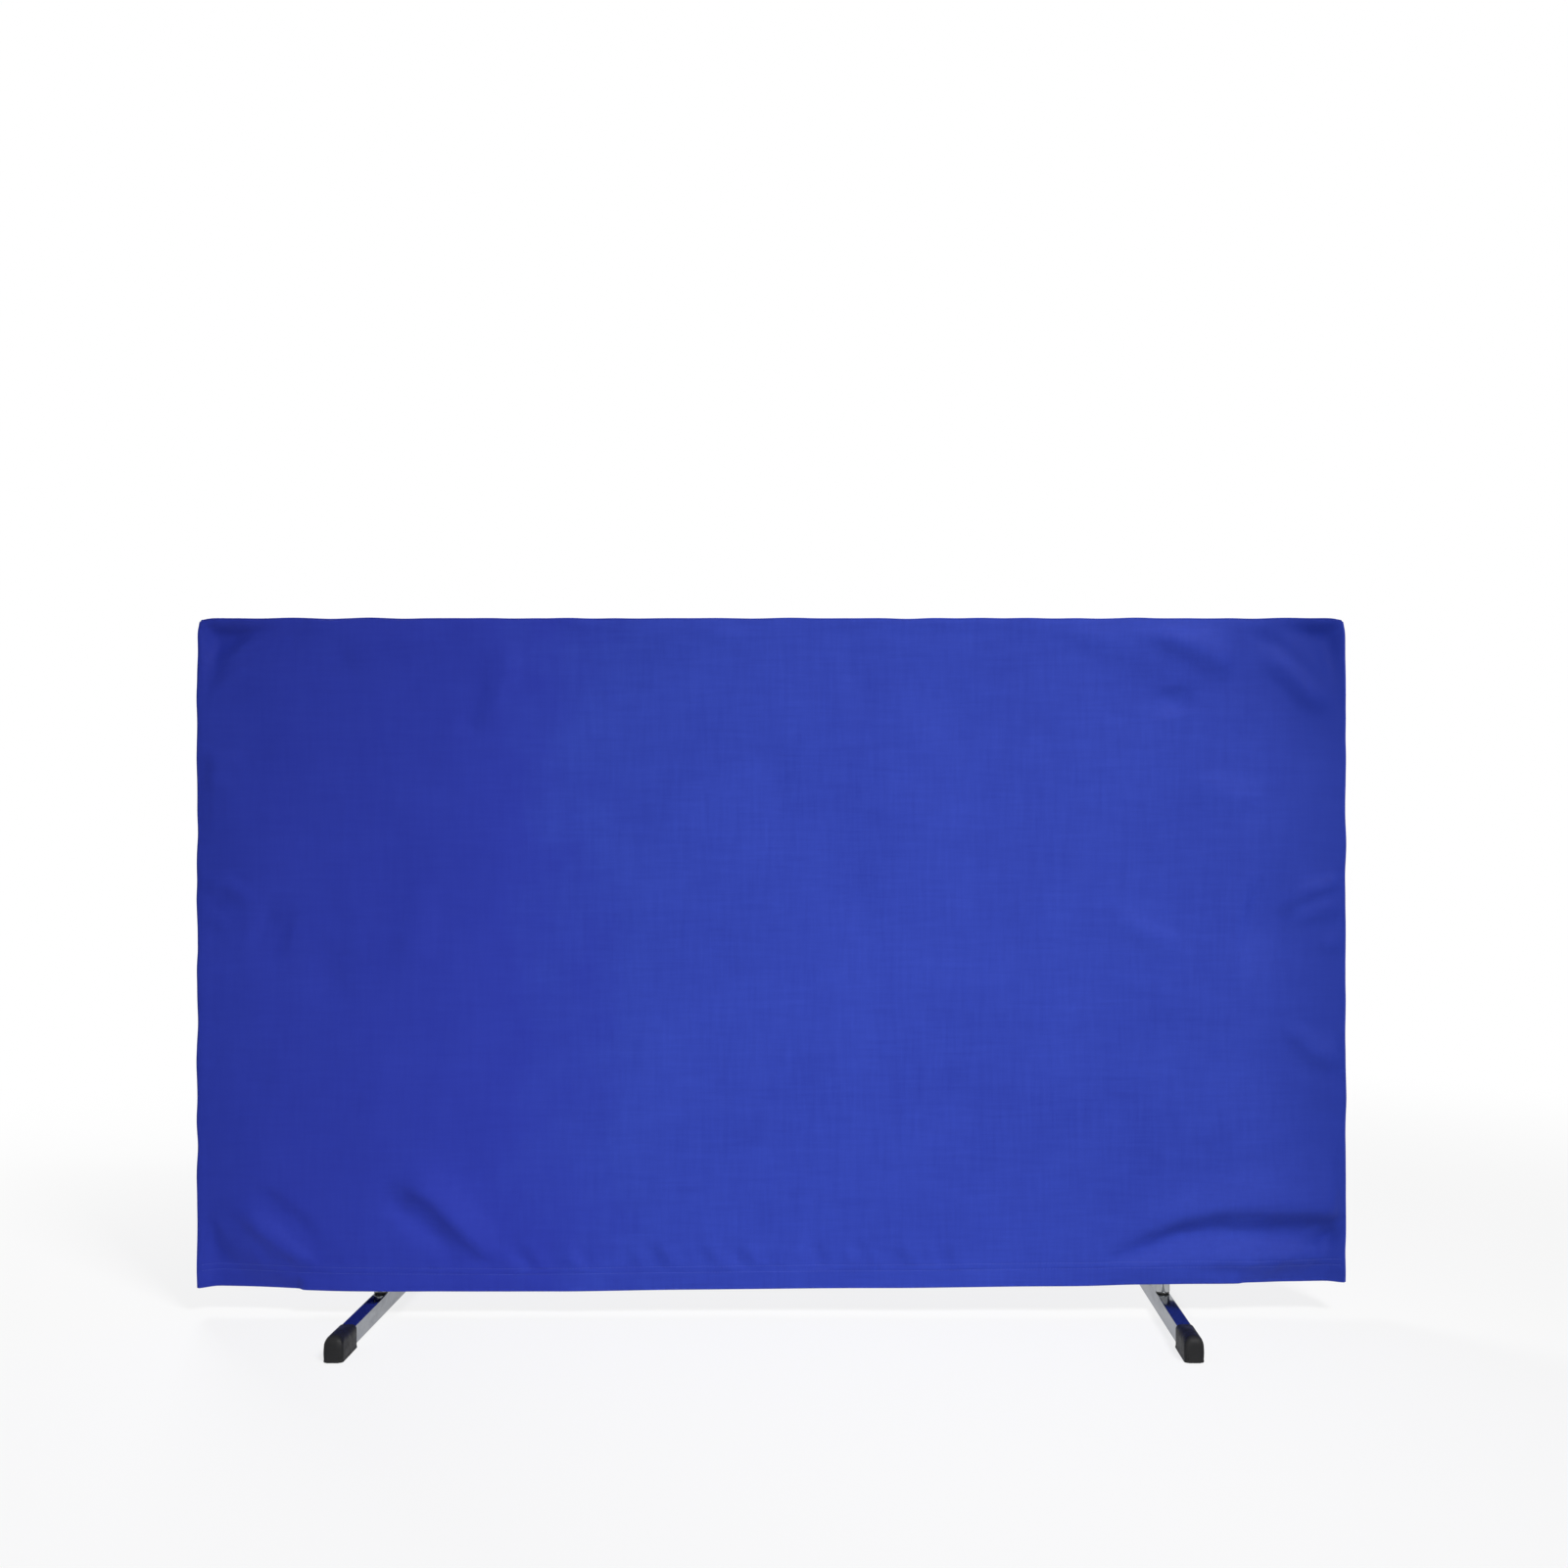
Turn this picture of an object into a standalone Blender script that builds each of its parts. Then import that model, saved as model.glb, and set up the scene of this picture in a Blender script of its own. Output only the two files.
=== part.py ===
"""Table tennis barrier: a sewn cover over a tube frame with bent corners, on two feet that turn to fold away.

Metres, +Z up, with the floor at Z = 0. +X runs along the barrier, and -Y is the side that faces the table.
Left and right are those of someone who looks at that side.
"""

import math

import bmesh
import bpy
from mathutils import Matrix, Vector

# Clearances that several pieces share
GAP = 0.0003  # between pieces that touch
HOLE_CLEARANCE = 0.0003  # round a bolt or a screw in its hole
CUT_OVERRUN = 0.002  # how far a cutter runs past what it cuts
MERGE = 0.00001

# Cover
COVER_WIDTH = 1.200
COVER_HEIGHT = 0.702
CLOTH = 0.001
COVER_SLACK = 0.0008  # between the cover and what stands out most from the frame
SIDE_EASE = 0.002  # between the uprights and the side gussets
HEM_RISE = 0.0092  # from the hem's lowest point to its highest
HEM_CLEARANCE = 0.0021  # from the feet's caps to the hem's lowest point
FOLD_DEPTH = 0.006
FOLD_WIDTH = 0.018
FOLD_FADE = 0.030  # width along the sewn edges in which the folds die out

# Closure under the bottom rail
TAPE_THICKNESS = 0.0008
FLAP_DROP = 0.0038  # from the rail's underside down to the flap
FLAP_LEG = 0.008
FLAP_END_SPACE = 0.119  # from a pivot boss to the flap's end

# Frame
FRAME_RADIUS = 0.0095
FRAME_WALL = 0.001
BEND_RADIUS = 0.100
BEND_TAIL = 0.030  # straight stretch after the bend
NECK_LENGTH = 0.0015
SPIGOT_LENGTH = 0.030

# Screws in the frame's joints
SCREW_RADIUS = 0.0015
SCREW_LENGTH = 0.008
SCREW_HEAD_RADIUS = 0.0034
SCREW_HEAD_HEIGHT = 0.0018
SCREW_HEAD_EDGE = 0.0008

# Feet
FOOT_LENGTH = 0.342
FOOT_INSET = 0.016  # from the end of a spigot in the bottom rail to the pivot
FOOT_WIDTH = 0.015
FOOT_HEIGHT = 0.019
FOOT_WALL = 0.001
FOOT_CORNER = 0.0014

# Rubber caps on the feet
CAP_LENGTH = 0.050
CAP_SOLE = 0.0022
CAP_RIM = 0.0012
CAP_SIDE_SWELL = 0.0002
CAP_TOP_SWELL = 0.0019
CAP_NOSE = 0.010  # solid rubber past the tube's end
CAP_ROUND = 0.0070
CAP_LIP_HEIGHT = 0.0022
CAP_LIP_OUT = 0.0004

# Foot pivots
BOLT_RADIUS = 0.003
BOLT_HEAD_HEIGHT = 0.004
BOLT_HEAD_CLEARANCE = 0.0010  # to the foot tube's inner sides
BOLT_END = 0.001  # thread that shows past the nut
SOCKET_RADIUS = 0.0023
SOCKET_DEPTH = 0.002
BOSS_HEIGHT = 0.017  # from the washer to the rail's underside
BOSS_EDGE = 0.0008
SADDLE_RISE = 0.004
PIVOT_WASHER = 0.001
PIVOT_WASHER_INSET = 0.0003
SADDLE_WASHER_RIM = 0.0035  # from the bolt to the washer's edge
SADDLE_WASHER_TOP = 0.0018
SADDLE_WASHER_SKIRT = 0.0022
NUT_RADIUS = 0.0058
NUT_HEIGHT = 0.0045
NUT_COLLAR = 0.0015
NUT_COLLAR_INSET = 0.0012

# Counts of sides and steps
TUBE_SIDES = 16
ROUND_SIDES = 24
HOLE_SIDES = 12
BEND_STEPS = 8
HEX_SIDES = 6
CORNER_STEPS = 3  # in the rounded corners of the feet and their caps
PANEL_COLUMN_COUNT = 30
PANEL_ROW_COUNT = 18
BACK_COLUMN_COUNT = 10
BACK_ROW_COUNT = 2

# The front panel's main folds, with places from the panel's lower left corner: how deep each is and how wide,
# as shares of FOLD_DEPTH and FOLD_WIDTH (below zero is a valley), and its path, as shares of the panel
FOLD_SHARES = (
    (0.9, 0.9, ((0.81, 0.075), (0.84, 0.105), (0.875, 0.125), (1.0, 0.118))),
    (-0.5, 0.7, ((0.76, 0.048), (0.85, 0.058), (1.0, 0.066))),
    (0.45, 0.8, ((0.145, 0.165), (0.20, 0.105), (0.245, 0.05))),
    (-0.45, 0.6, ((0.168, 0.158), (0.215, 0.095), (0.262, 0.030))),
    (0.40, 1.0, ((0.025, 0.16), (0.05, 0.10), (0.10, 0.05), (0.16, 0.03))),
    (0.45, 1.3, ((0.82, 0.985), (0.90, 0.93), (0.955, 0.86), (0.975, 0.76))),
    (-0.40, 1.6, ((0.93, 0.55), (0.955, 0.50))),
    (0.35, 2.2, ((0.60, 0.90), (0.78, 0.80), (0.84, 0.62))),
    (-0.30, 1.4, ((0.20, 0.93), (0.245, 0.84))),
)
# The hem's height along the panel, as shares of the panel's width and of HEM_RISE
HEM_SHARES = ((0.0, 0.33), (0.27, 0.0), (0.60, 0.40), (1.0, 1.0))
END_CROWDING_SHARE = 0.6  # how much more closely the panel's columns stand at its ends
ROW_CROWDING_SHARE = 0.85  # how much more closely its rows stand at the hem
# Rings of a rubber cap from the rim to the tip, as shares: place along the cap, side swell, top swell
# and top rounding
CAP_RING_SHARES = (
    (0.00, 0.00, 0.00, 0.50),
    (0.04, 0.25, 0.20, 0.60),
    (0.22, 0.65, 0.65, 0.75),
    (0.45, 0.95, 1.00, 0.90),
    (0.70, 1.00, 1.00, 1.00),
    (0.86, 0.98, 0.70, 1.00),
    (0.93, 0.85, 0.00, 1.00),
)
# The nose's slope: place along the cap and height that is left
NOSE_TOP_SHARES = ((0.962, 0.80), (0.980, 0.55), (0.990, 0.25))

# Sizes worked out from those above
foot_bottom_z = CAP_SOLE + GAP
foot_top_z = foot_bottom_z + FOOT_HEIGHT
cap_rim_z = foot_top_z + GAP + CAP_RIM
cap_top_z = cap_rim_z + CAP_TOP_SWELL
cap_half_width = FOOT_WIDTH / 2 + GAP + CAP_RIM
foot_half = FOOT_LENGTH / 2
foot_tube_half = foot_half - CAP_NOSE

pivot_washer_z = foot_top_z + GAP
boss_z = pivot_washer_z + PIVOT_WASHER + GAP
rail_bottom_z = boss_z + BOSS_HEIGHT
rail_z = rail_bottom_z + FRAME_RADIUS
rail_top_z = rail_z + FRAME_RADIUS
boss_radius = FOOT_WIDTH / 2

hem_z = cap_top_z + HEM_CLEARANCE
cover_top_z = hem_z + COVER_HEIGHT
cover_half_width = COVER_WIDTH / 2
cover_inside = max(boss_radius, FRAME_RADIUS + GAP + SCREW_HEAD_HEIGHT) + COVER_SLACK
frame_half_width = cover_half_width - CLOTH - SIDE_EASE - FRAME_RADIUS
top_rail_z = cover_top_z - CLOTH - GAP - FRAME_RADIUS

bend_reach = BEND_RADIUS + BEND_TAIL + NECK_LENGTH
screw_reach = bend_reach + SPIGOT_LENGTH / 2
foot_x = frame_half_width - bend_reach - SPIGOT_LENGTH - FOOT_INSET
hole_radius = BOLT_RADIUS + HOLE_CLEARANCE
saddle_washer_radius = hole_radius + SADDLE_WASHER_RIM
bolt_head_radius = FOOT_WIDTH / 2 - FOOT_WALL - BOLT_HEAD_CLEARANCE
bolt_head_z = foot_top_z - FOOT_WALL - GAP
nut_z = rail_top_z + SADDLE_WASHER_TOP + GAP

SIDES = {"left": -1, "right": 1}


def empty_scene():
    for obj in list(bpy.data.objects):
        bpy.data.objects.remove(obj, do_unlink=True)
    for old in list(bpy.data.collections):
        bpy.data.collections.remove(old)


def new_collection(name):
    collection = bpy.data.collections.new(name)
    bpy.context.scene.collection.children.link(collection)
    return collection


def material(name, colour, roughness, metallic):
    mat = bpy.data.materials.new(name)
    mat.use_nodes = True
    shader = mat.node_tree.nodes["Principled BSDF"]
    shader.inputs["Base Color"].default_value = (*colour, 1.0)
    shader.inputs["Roughness"].default_value = roughness
    shader.inputs["Metallic"].default_value = metallic
    return mat


empty_scene()
PARTS = new_collection("table_tennis_barrier")
CUTTERS = new_collection("cutters")
FABRIC = material("blue_fabric", (0.031, 0.054, 0.381), 0.75, 0.0)
TAPE = material("blue_tape", (0.020, 0.034, 0.230), 0.95, 0.0)
CHROME = material("chrome_plate", (0.36, 0.37, 0.38), 0.12, 1.0)
STEEL = material("zinc_steel", (0.60, 0.60, 0.58), 0.35, 1.0)
RUBBER = material("black_rubber", (0.016, 0.016, 0.017), 0.60, 0.0)
PLASTIC = material("black_plastic", (0.020, 0.020, 0.021), 0.45, 0.0)


def place(name, mesh, mat, location=(0, 0, 0), parent=None, smooth=False):
    """A named part of the barrier, placed in its parent's space."""
    mesh.name = name
    mesh.materials.clear()
    mesh.materials.append(mat)
    if smooth:
        mesh.shade_smooth()
        mesh.set_sharp_from_angle(angle=math.radians(35))
    obj = bpy.data.objects.new(name, mesh)
    PARTS.objects.link(obj)
    obj.location = location
    obj.parent = parent
    return obj


def to_mesh(bm):
    mesh = bpy.data.meshes.new("shape")
    bmesh.ops.recalc_face_normals(bm, faces=bm.faces)
    bm.to_mesh(mesh)
    bm.free()
    return mesh


def box_mesh(low, high):
    """A box between two corners."""
    low, high = Vector(low), Vector(high)
    size = high - low
    bm = bmesh.new()
    matrix = Matrix.Translation((low + high) / 2) @ Matrix.Diagonal((*size, 1.0))
    bmesh.ops.create_cube(bm, size=1.0, matrix=matrix)
    return to_mesh(bm)


def cylinder_mesh(radius, length, sides, axis="Z", open_ends=False):
    """A cylinder round the origin, along an axis."""
    turn = {
        "X": Matrix.Rotation(math.radians(90), 4, "Y"),
        "Y": Matrix.Rotation(math.radians(90), 4, "X"),
        "Z": Matrix.Identity(4),
    }[axis]
    bm = bmesh.new()
    bmesh.ops.create_cone(
        bm, cap_ends=not open_ends, segments=sides, radius1=radius, radius2=radius, depth=length, matrix=turn
    )
    if open_ends:
        mesh = bpy.data.meshes.new("shape")
        bm.to_mesh(mesh)
        bm.free()
        return mesh
    return to_mesh(bm)


def cutter(name, mesh, location=(0, 0, 0)):
    obj = bpy.data.objects.new(name, mesh)
    CUTTERS.objects.link(obj)
    obj.location = location
    obj.hide_render = True
    obj.display_type = "WIRE"
    return obj


def cut(obj, tool):
    change = obj.modifiers.new(f"cut_{tool.name}", "BOOLEAN")
    change.operation = "DIFFERENCE"
    change.solver = "EXACT"
    change.object = tool


def thicken(obj, thickness):
    """Gives an open surface a thickness, on the side away from its normals."""
    change = obj.modifiers.new("wall", "SOLIDIFY")
    change.thickness = thickness
    change.offset = -1.0
    change.use_even_offset = True
    change.use_rim = True


def turn(obj, sides):
    """Turns a profile about the object's Z axis."""
    change = obj.modifiers.new("turned", "SCREW")
    change.axis = "Z"
    change.angle = math.radians(360)
    change.steps = sides
    change.render_steps = sides
    change.use_merge_vertices = True
    change.merge_threshold = MERGE
    change.use_smooth_shade = False


def profile_mesh(points):
    """A profile of radius and height that runs down the outer side of a turned piece."""
    mesh = bpy.data.meshes.new("shape")
    bm = bmesh.new()
    closed = points[0] == points[-1]
    verts = [bm.verts.new((radius, 0, height)) for radius, height in points[: len(points) - closed]]
    ring = verts + verts[:closed]
    for a, b in zip(ring, ring[1:]):
        bm.edges.new((a, b))
    bm.to_mesh(mesh)
    bm.free()
    return mesh


def turned(name, points, mat, location=(0, 0, 0), parent=None, sides=ROUND_SIDES):
    obj = place(name, profile_mesh(points), mat, location, parent)
    turn(obj, sides)
    return obj


def loft_mesh(rings):
    """A closed skin over rings that have the same number of points."""
    bm = bmesh.new()
    loops = [[bm.verts.new(point) for point in ring] for ring in rings]
    for near, far in zip(loops, loops[1:]):
        for i in range(len(near)):
            j = (i + 1) % len(near)
            bm.faces.new((near[i], near[j], far[j], far[i]))
    bm.faces.new(loops[0])
    bm.faces.new(loops[-1])
    return to_mesh(bm)


def straight_tube(name, length, axis, location):
    """An open tube of the frame's section."""
    mesh = cylinder_mesh(FRAME_RADIUS, length, TUBE_SIDES, axis, open_ends=True)
    tube = place(name, mesh, CHROME, location, smooth=True)
    thicken(tube, FRAME_WALL)
    return tube


def bend_mesh():
    """A quarter bend round the origin from +X to +Z, with straight tails and necked ends."""
    neck_share = (FRAME_RADIUS - FRAME_WALL - GAP) / FRAME_RADIUS
    ends = (BEND_TAIL + NECK_LENGTH + SPIGOT_LENGTH, BEND_TAIL + NECK_LENGTH, BEND_TAIL)
    width_shares = (neck_share, neck_share, 1.0)
    points = [(BEND_RADIUS, -end, width) for end, width in zip(ends, width_shares)]
    for step in range(BEND_STEPS + 1):
        angle = math.radians(90) * step / BEND_STEPS
        points.append((BEND_RADIUS * math.cos(angle), BEND_RADIUS * math.sin(angle), 1.0))
    points += [(-end, BEND_RADIUS, width) for end, width in zip(reversed(ends), reversed(width_shares))]
    curve = bpy.data.curves.new("bend_path", "CURVE")
    curve.dimensions = "3D"
    curve.bevel_depth = FRAME_RADIUS
    curve.bevel_resolution = (TUBE_SIDES - 4) // 2
    curve.use_fill_caps = False
    spline = curve.splines.new("POLY")
    spline.points.add(len(points) - 1)
    for target, (x, z, width) in zip(spline.points, points):
        target.co = (x, 0, z, 1)
        target.radius = width
    path = bpy.data.objects.new("bend_path", curve)
    CUTTERS.objects.link(path)
    bpy.context.view_layer.update()
    mesh = bpy.data.meshes.new_from_object(path.evaluated_get(bpy.context.evaluated_depsgraph_get()))
    bpy.data.objects.remove(path)
    return mesh


def make_frame():
    """Four straight tubes, four bends and the screws that hold them together."""
    rail_length = 2 * (frame_half_width - bend_reach - GAP)
    upright_length = top_rail_z - rail_z - 2 * (bend_reach + GAP)
    upright_z = (top_rail_z + rail_z) / 2
    tubes = {
        "top_rail": straight_tube("top_rail", rail_length, "X", (0, 0, top_rail_z)),
        "bottom_rail": straight_tube("bottom_rail", rail_length, "X", (0, 0, rail_z)),
    }
    for side, sign in SIDES.items():
        name = f"{side}_upright"
        tubes[name] = straight_tube(name, upright_length, "Z", (sign * frame_half_width, 0, upright_z))
        drill = cutter(
            f"{side}_bolt_hole",
            cylinder_mesh(hole_radius, 2 * (FRAME_RADIUS + CUT_OVERRUN), HOLE_SIDES),
            (sign * foot_x, 0, rail_z),
        )
        cut(tubes["bottom_rail"], drill)
    turns = {"top_right": 0, "top_left": -90, "bottom_left": 180, "bottom_right": 90}
    for corner, degrees in turns.items():
        level, side = corner.split("_")
        sign = SIDES[side]
        up = 1 if level == "top" else -1
        corner_z = top_rail_z if level == "top" else rail_z
        centre = (sign * (frame_half_width - BEND_RADIUS), 0, corner_z - up * BEND_RADIUS)
        bend = place(f"corner_bend_{corner}", bend_mesh(), CHROME, centre, smooth=True)
        bend.rotation_euler = (0, math.radians(degrees), 0)
        thicken(bend, FRAME_WALL)
        rail_place = (sign * (frame_half_width - screw_reach), 0, corner_z)
        upright_place = (sign * frame_half_width, 0, corner_z - up * screw_reach)
        make_screw(f"{corner}_rail_screw", rail_place, (bend, tubes[f"{level}_rail"]))
        make_screw(f"{corner}_upright_screw", upright_place, (bend, tubes[f"{side}_upright"]))


def make_screw(name, location, tubes):
    """A pan head screw that enters two tubes, one in the other, from the rear."""
    x, y, z = location
    head_z = FRAME_RADIUS + GAP
    top_z = head_z + SCREW_HEAD_HEIGHT
    points = [
        (0, top_z),
        (SCREW_HEAD_RADIUS - SCREW_HEAD_EDGE, top_z),
        (SCREW_HEAD_RADIUS, top_z - SCREW_HEAD_EDGE),
        (SCREW_HEAD_RADIUS, head_z),
        (SCREW_RADIUS, head_z),
        (SCREW_RADIUS, head_z - SCREW_LENGTH + SCREW_RADIUS),
        (0, head_z - SCREW_LENGTH),
    ]
    screw = turned(name, points, STEEL, location, sides=HOLE_SIDES)
    screw.rotation_euler = (math.radians(-90), 0, 0)
    depth = FRAME_RADIUS + CUT_OVERRUN
    mesh = cylinder_mesh(SCREW_RADIUS + HOLE_CLEARANCE, depth, HOLE_SIDES, "Y")
    hole = cutter(f"{name}_hole", mesh, (x, y + depth / 2, z))
    for tube in tubes:
        cut(tube, hole)


def make_foot_tube(side, pivot):
    """A rectangular tube with rounded corners, drilled for the bolt and, below, for the bolt's head."""
    low = (-FOOT_WIDTH / 2, -foot_tube_half, foot_bottom_z)
    high = (FOOT_WIDTH / 2, foot_tube_half, foot_top_z)
    bm = bmesh.new()
    bm.from_mesh(box_mesh(low, high))
    ends = [face for face in bm.faces if abs(face.normal.y) > abs(face.normal.x) + abs(face.normal.z)]
    bmesh.ops.delete(bm, geom=ends, context="FACES_ONLY")
    long_edges = [e for e in bm.edges if not e.is_boundary]
    bmesh.ops.bevel(
        bm, geom=long_edges, offset=FOOT_CORNER, segments=CORNER_STEPS, profile=0.5, affect="EDGES"
    )
    mesh = bpy.data.meshes.new("shape")
    bm.to_mesh(mesh)
    bm.free()
    tube = place(f"{side}_foot_tube", mesh, CHROME, parent=pivot, smooth=True)
    thicken(tube, FOOT_WALL)
    x = pivot.location.x
    bolt_hole = cylinder_mesh(hole_radius, FOOT_WALL + 2 * CUT_OVERRUN, HOLE_SIDES)
    cut(tube, cutter(f"{side}_foot_bolt_hole", bolt_hole, (x, 0, foot_top_z - FOOT_WALL / 2)))
    head_hole = cylinder_mesh(bolt_head_radius + HOLE_CLEARANCE, FOOT_WALL + 2 * CUT_OVERRUN, ROUND_SIDES)
    cut(tube, cutter(f"{side}_foot_head_hole", head_hole, (x, 0, foot_bottom_z + FOOT_WALL / 2)))
    return tube


def cap_ring(y, half_width, top, rounding):
    """One section of a cap, across the foot: a flat sole with a lip, upright sides and a rounded top."""
    lip_half = half_width + CAP_LIP_OUT
    shoulder = CAP_LIP_HEIGHT + CAP_LIP_OUT
    rounding = min(rounding, half_width - CAP_LIP_OUT)
    arc = [math.radians(90) * step / CORNER_STEPS for step in range(CORNER_STEPS + 1)]
    points = [(lip_half, 0), (lip_half, CAP_LIP_HEIGHT), (half_width, shoulder)]
    for angle in arc:
        points.append(
            (half_width - rounding + rounding * math.cos(angle), top - rounding + rounding * math.sin(angle))
        )
    left = [(-x, z) for x, z in reversed(points)]
    return [(x, y, z) for x, z in points + left]


def cap_mesh():
    """A boot that swells from a thin rim to a rounded nose, with its tip towards +Y."""
    rim_y = foot_half - CAP_LENGTH
    rings = []
    for along_share, side_share, top_share, round_share in CAP_RING_SHARES:
        rings.append(
            cap_ring(
                rim_y + CAP_LENGTH * along_share,
                cap_half_width + CAP_SIDE_SWELL * side_share,
                cap_rim_z + CAP_TOP_SWELL * top_share,
                CAP_ROUND * round_share,
            )
        )
    shoulder = CAP_LIP_HEIGHT + CAP_LIP_OUT
    for along_share, height_share in NOSE_TOP_SHARES:
        nose_y = rim_y + CAP_LENGTH * along_share
        top = shoulder + (cap_rim_z - shoulder) * height_share
        rounding = min(CAP_ROUND, (top - shoulder) * height_share)
        rings.append(cap_ring(nose_y, cap_half_width + CAP_SIDE_SWELL / 2, top, rounding))
    lip_top = CAP_LIP_HEIGHT + CAP_LIP_OUT + CAP_LIP_OUT / 2
    rings.append(cap_ring(foot_half - CAP_LIP_OUT / 2, cap_half_width, lip_top, CAP_LIP_OUT / 4))
    drawn_in_share = cap_half_width / (cap_half_width + CAP_LIP_OUT)
    rings.append([(x * drawn_in_share, foot_half, min(z, CAP_LIP_HEIGHT)) for x, y, z in rings[-1]])
    return loft_mesh(rings)


def make_cap(side, end, pivot):
    """A rubber cap with a pocket for the end of the foot's tube."""
    mesh = cap_mesh()
    half_turn = math.radians(180) if end == "front" else 0.0
    mesh.transform(Matrix.Rotation(half_turn, 4, "Z"))
    cap = place(f"{side}_foot_{end}_cap", mesh, RUBBER, parent=pivot, smooth=True)
    low = (-FOOT_WIDTH / 2 - GAP, foot_half - CAP_LENGTH - CUT_OVERRUN, CAP_SOLE)
    high = (FOOT_WIDTH / 2 + GAP, foot_tube_half + GAP, foot_top_z + GAP)
    bm = bmesh.new()
    bm.from_mesh(box_mesh(low, high))
    long_edges = [e for e in bm.edges if abs(e.verts[0].co.y - e.verts[1].co.y) > CAP_NOSE]
    bmesh.ops.bevel(
        bm, geom=long_edges, offset=FOOT_CORNER, segments=CORNER_STEPS, profile=0.5, affect="EDGES"
    )
    pocket = to_mesh(bm)
    pocket.transform(Matrix.Rotation(half_turn, 4, "Z"))
    cut(cap, cutter(f"{side}_{end}_pocket", pocket, (pivot.location.x, 0, 0)))
    return cap


def make_feet():
    for side, sign in SIDES.items():
        pivot = bpy.data.objects.new(f"{side}_foot_pivot", None)
        PARTS.objects.link(pivot)
        pivot.location = (sign * foot_x, 0, 0)
        make_foot_tube(side, pivot)
        make_cap(side, "front", pivot)
        make_cap(side, "rear", pivot)


def ring_points(outer, inner, low, high, edge=0.0):
    """A ring's profile, closed round its section, with its outer edges broken."""
    points = [(inner, high), (outer - edge, high)]
    if edge:
        points.append((outer, high - edge))
        points.append((outer, low + edge))
    else:
        points.append((outer, high))
    return points + [(outer - edge, low), (inner, low), (inner, high)]


def make_pivot(side, sign):
    """The bolt that a foot turns on, and what it clamps, from the foot up to the nut on the bottom rail."""
    x = sign * foot_x
    rail_reach = max(boss_radius, saddle_washer_radius) + CUT_OVERRUN
    rail_mesh = cylinder_mesh(FRAME_RADIUS + GAP, 2 * rail_reach, TUBE_SIDES, "X")
    rail_shape = cutter(f"{side}_rail_shape", rail_mesh, (x, 0, rail_z))

    head_low = bolt_head_z - BOLT_HEAD_HEIGHT
    bolt_top = nut_z + NUT_HEIGHT + NUT_COLLAR + BOLT_END
    bolt_points = [
        (0, bolt_top),
        (BOLT_RADIUS - BOLT_END / 2, bolt_top),
        (BOLT_RADIUS, bolt_top - BOLT_END / 2),
        (BOLT_RADIUS, bolt_head_z),
        (bolt_head_radius, bolt_head_z),
        (bolt_head_radius, head_low + BOSS_EDGE),
        (bolt_head_radius - BOSS_EDGE, head_low),
        (0, head_low),
    ]
    bolt = turned(f"{side}_pivot_bolt", bolt_points, STEEL, (x, 0, 0))
    socket = cylinder_mesh(SOCKET_RADIUS, SOCKET_DEPTH + CUT_OVERRUN, HEX_SIDES)
    socket_z = head_low + SOCKET_DEPTH - (SOCKET_DEPTH + CUT_OVERRUN) / 2
    cut(bolt, cutter(f"{side}_bolt_socket", socket, (x, 0, socket_z)))

    washer_outer = boss_radius - PIVOT_WASHER_INSET
    washer_points = ring_points(washer_outer, hole_radius, 0.0, PIVOT_WASHER)
    turned(f"{side}_pivot_washer", washer_points, PLASTIC, (x, 0, pivot_washer_z))

    boss_points = ring_points(boss_radius, hole_radius, 0.0, BOSS_HEIGHT + SADDLE_RISE, BOSS_EDGE)
    boss = turned(f"{side}_pivot_boss", boss_points, CHROME, (x, 0, boss_z))
    cut(boss, rail_shape)

    saddle_points = ring_points(saddle_washer_radius, hole_radius, -SADDLE_WASHER_SKIRT, SADDLE_WASHER_TOP)
    saddle = turned(f"{side}_rail_washer", saddle_points, STEEL, (x, 0, rail_top_z))
    cut(saddle, rail_shape)

    make_nut(f"{side}_lock_nut", (x, 0, nut_z))


def make_nut(name, location):
    """A six-sided lock nut with a round collar on top."""
    body = cylinder_mesh(NUT_RADIUS, NUT_HEIGHT, HEX_SIDES)
    body.transform(Matrix.Translation((0, 0, NUT_HEIGHT / 2)))
    nut = place(name, body, STEEL, location)
    flat_radius = NUT_RADIUS * math.cos(math.pi / HEX_SIDES)
    collar_radius = flat_radius - NUT_COLLAR_INSET / 2
    collar_height = NUT_COLLAR + NUT_COLLAR_INSET
    collar = cutter(f"{name}_collar", cylinder_mesh(collar_radius, collar_height, ROUND_SIDES))
    collar.location = (location[0], location[1], location[2] + NUT_HEIGHT + NUT_COLLAR - collar_height / 2)
    join = nut.modifiers.new("collar", "BOOLEAN")
    join.operation = "UNION"
    join.solver = "EXACT"
    join.object = collar
    bore_length = NUT_HEIGHT + NUT_COLLAR + 2 * CUT_OVERRUN
    bore = cutter(f"{name}_bore", cylinder_mesh(hole_radius, bore_length, HOLE_SIDES))
    bore.location = (location[0], location[1], location[2] + bore_length / 2 - CUT_OVERRUN)
    cut(nut, bore)


def along_table(table, at):
    """Reads a table of pairs at a place between its rows."""
    for (a, low), (b, high) in zip(table, table[1:]):
        if at <= b:
            return low + (high - low) * (at - a) / (b - a)
    return table[-1][1]


def hem_height(across_share):
    return hem_z + HEM_RISE * along_table(HEM_SHARES, across_share)


def distance_to_path(point, path):
    best = None
    for a, b in zip(path, path[1:]):
        run = b - a
        share = max(0.0, min(1.0, (point - a).dot(run) / run.length_squared))
        away = (point - a - run * share).length
        best = away if best is None else min(best, away)
    return best


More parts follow.
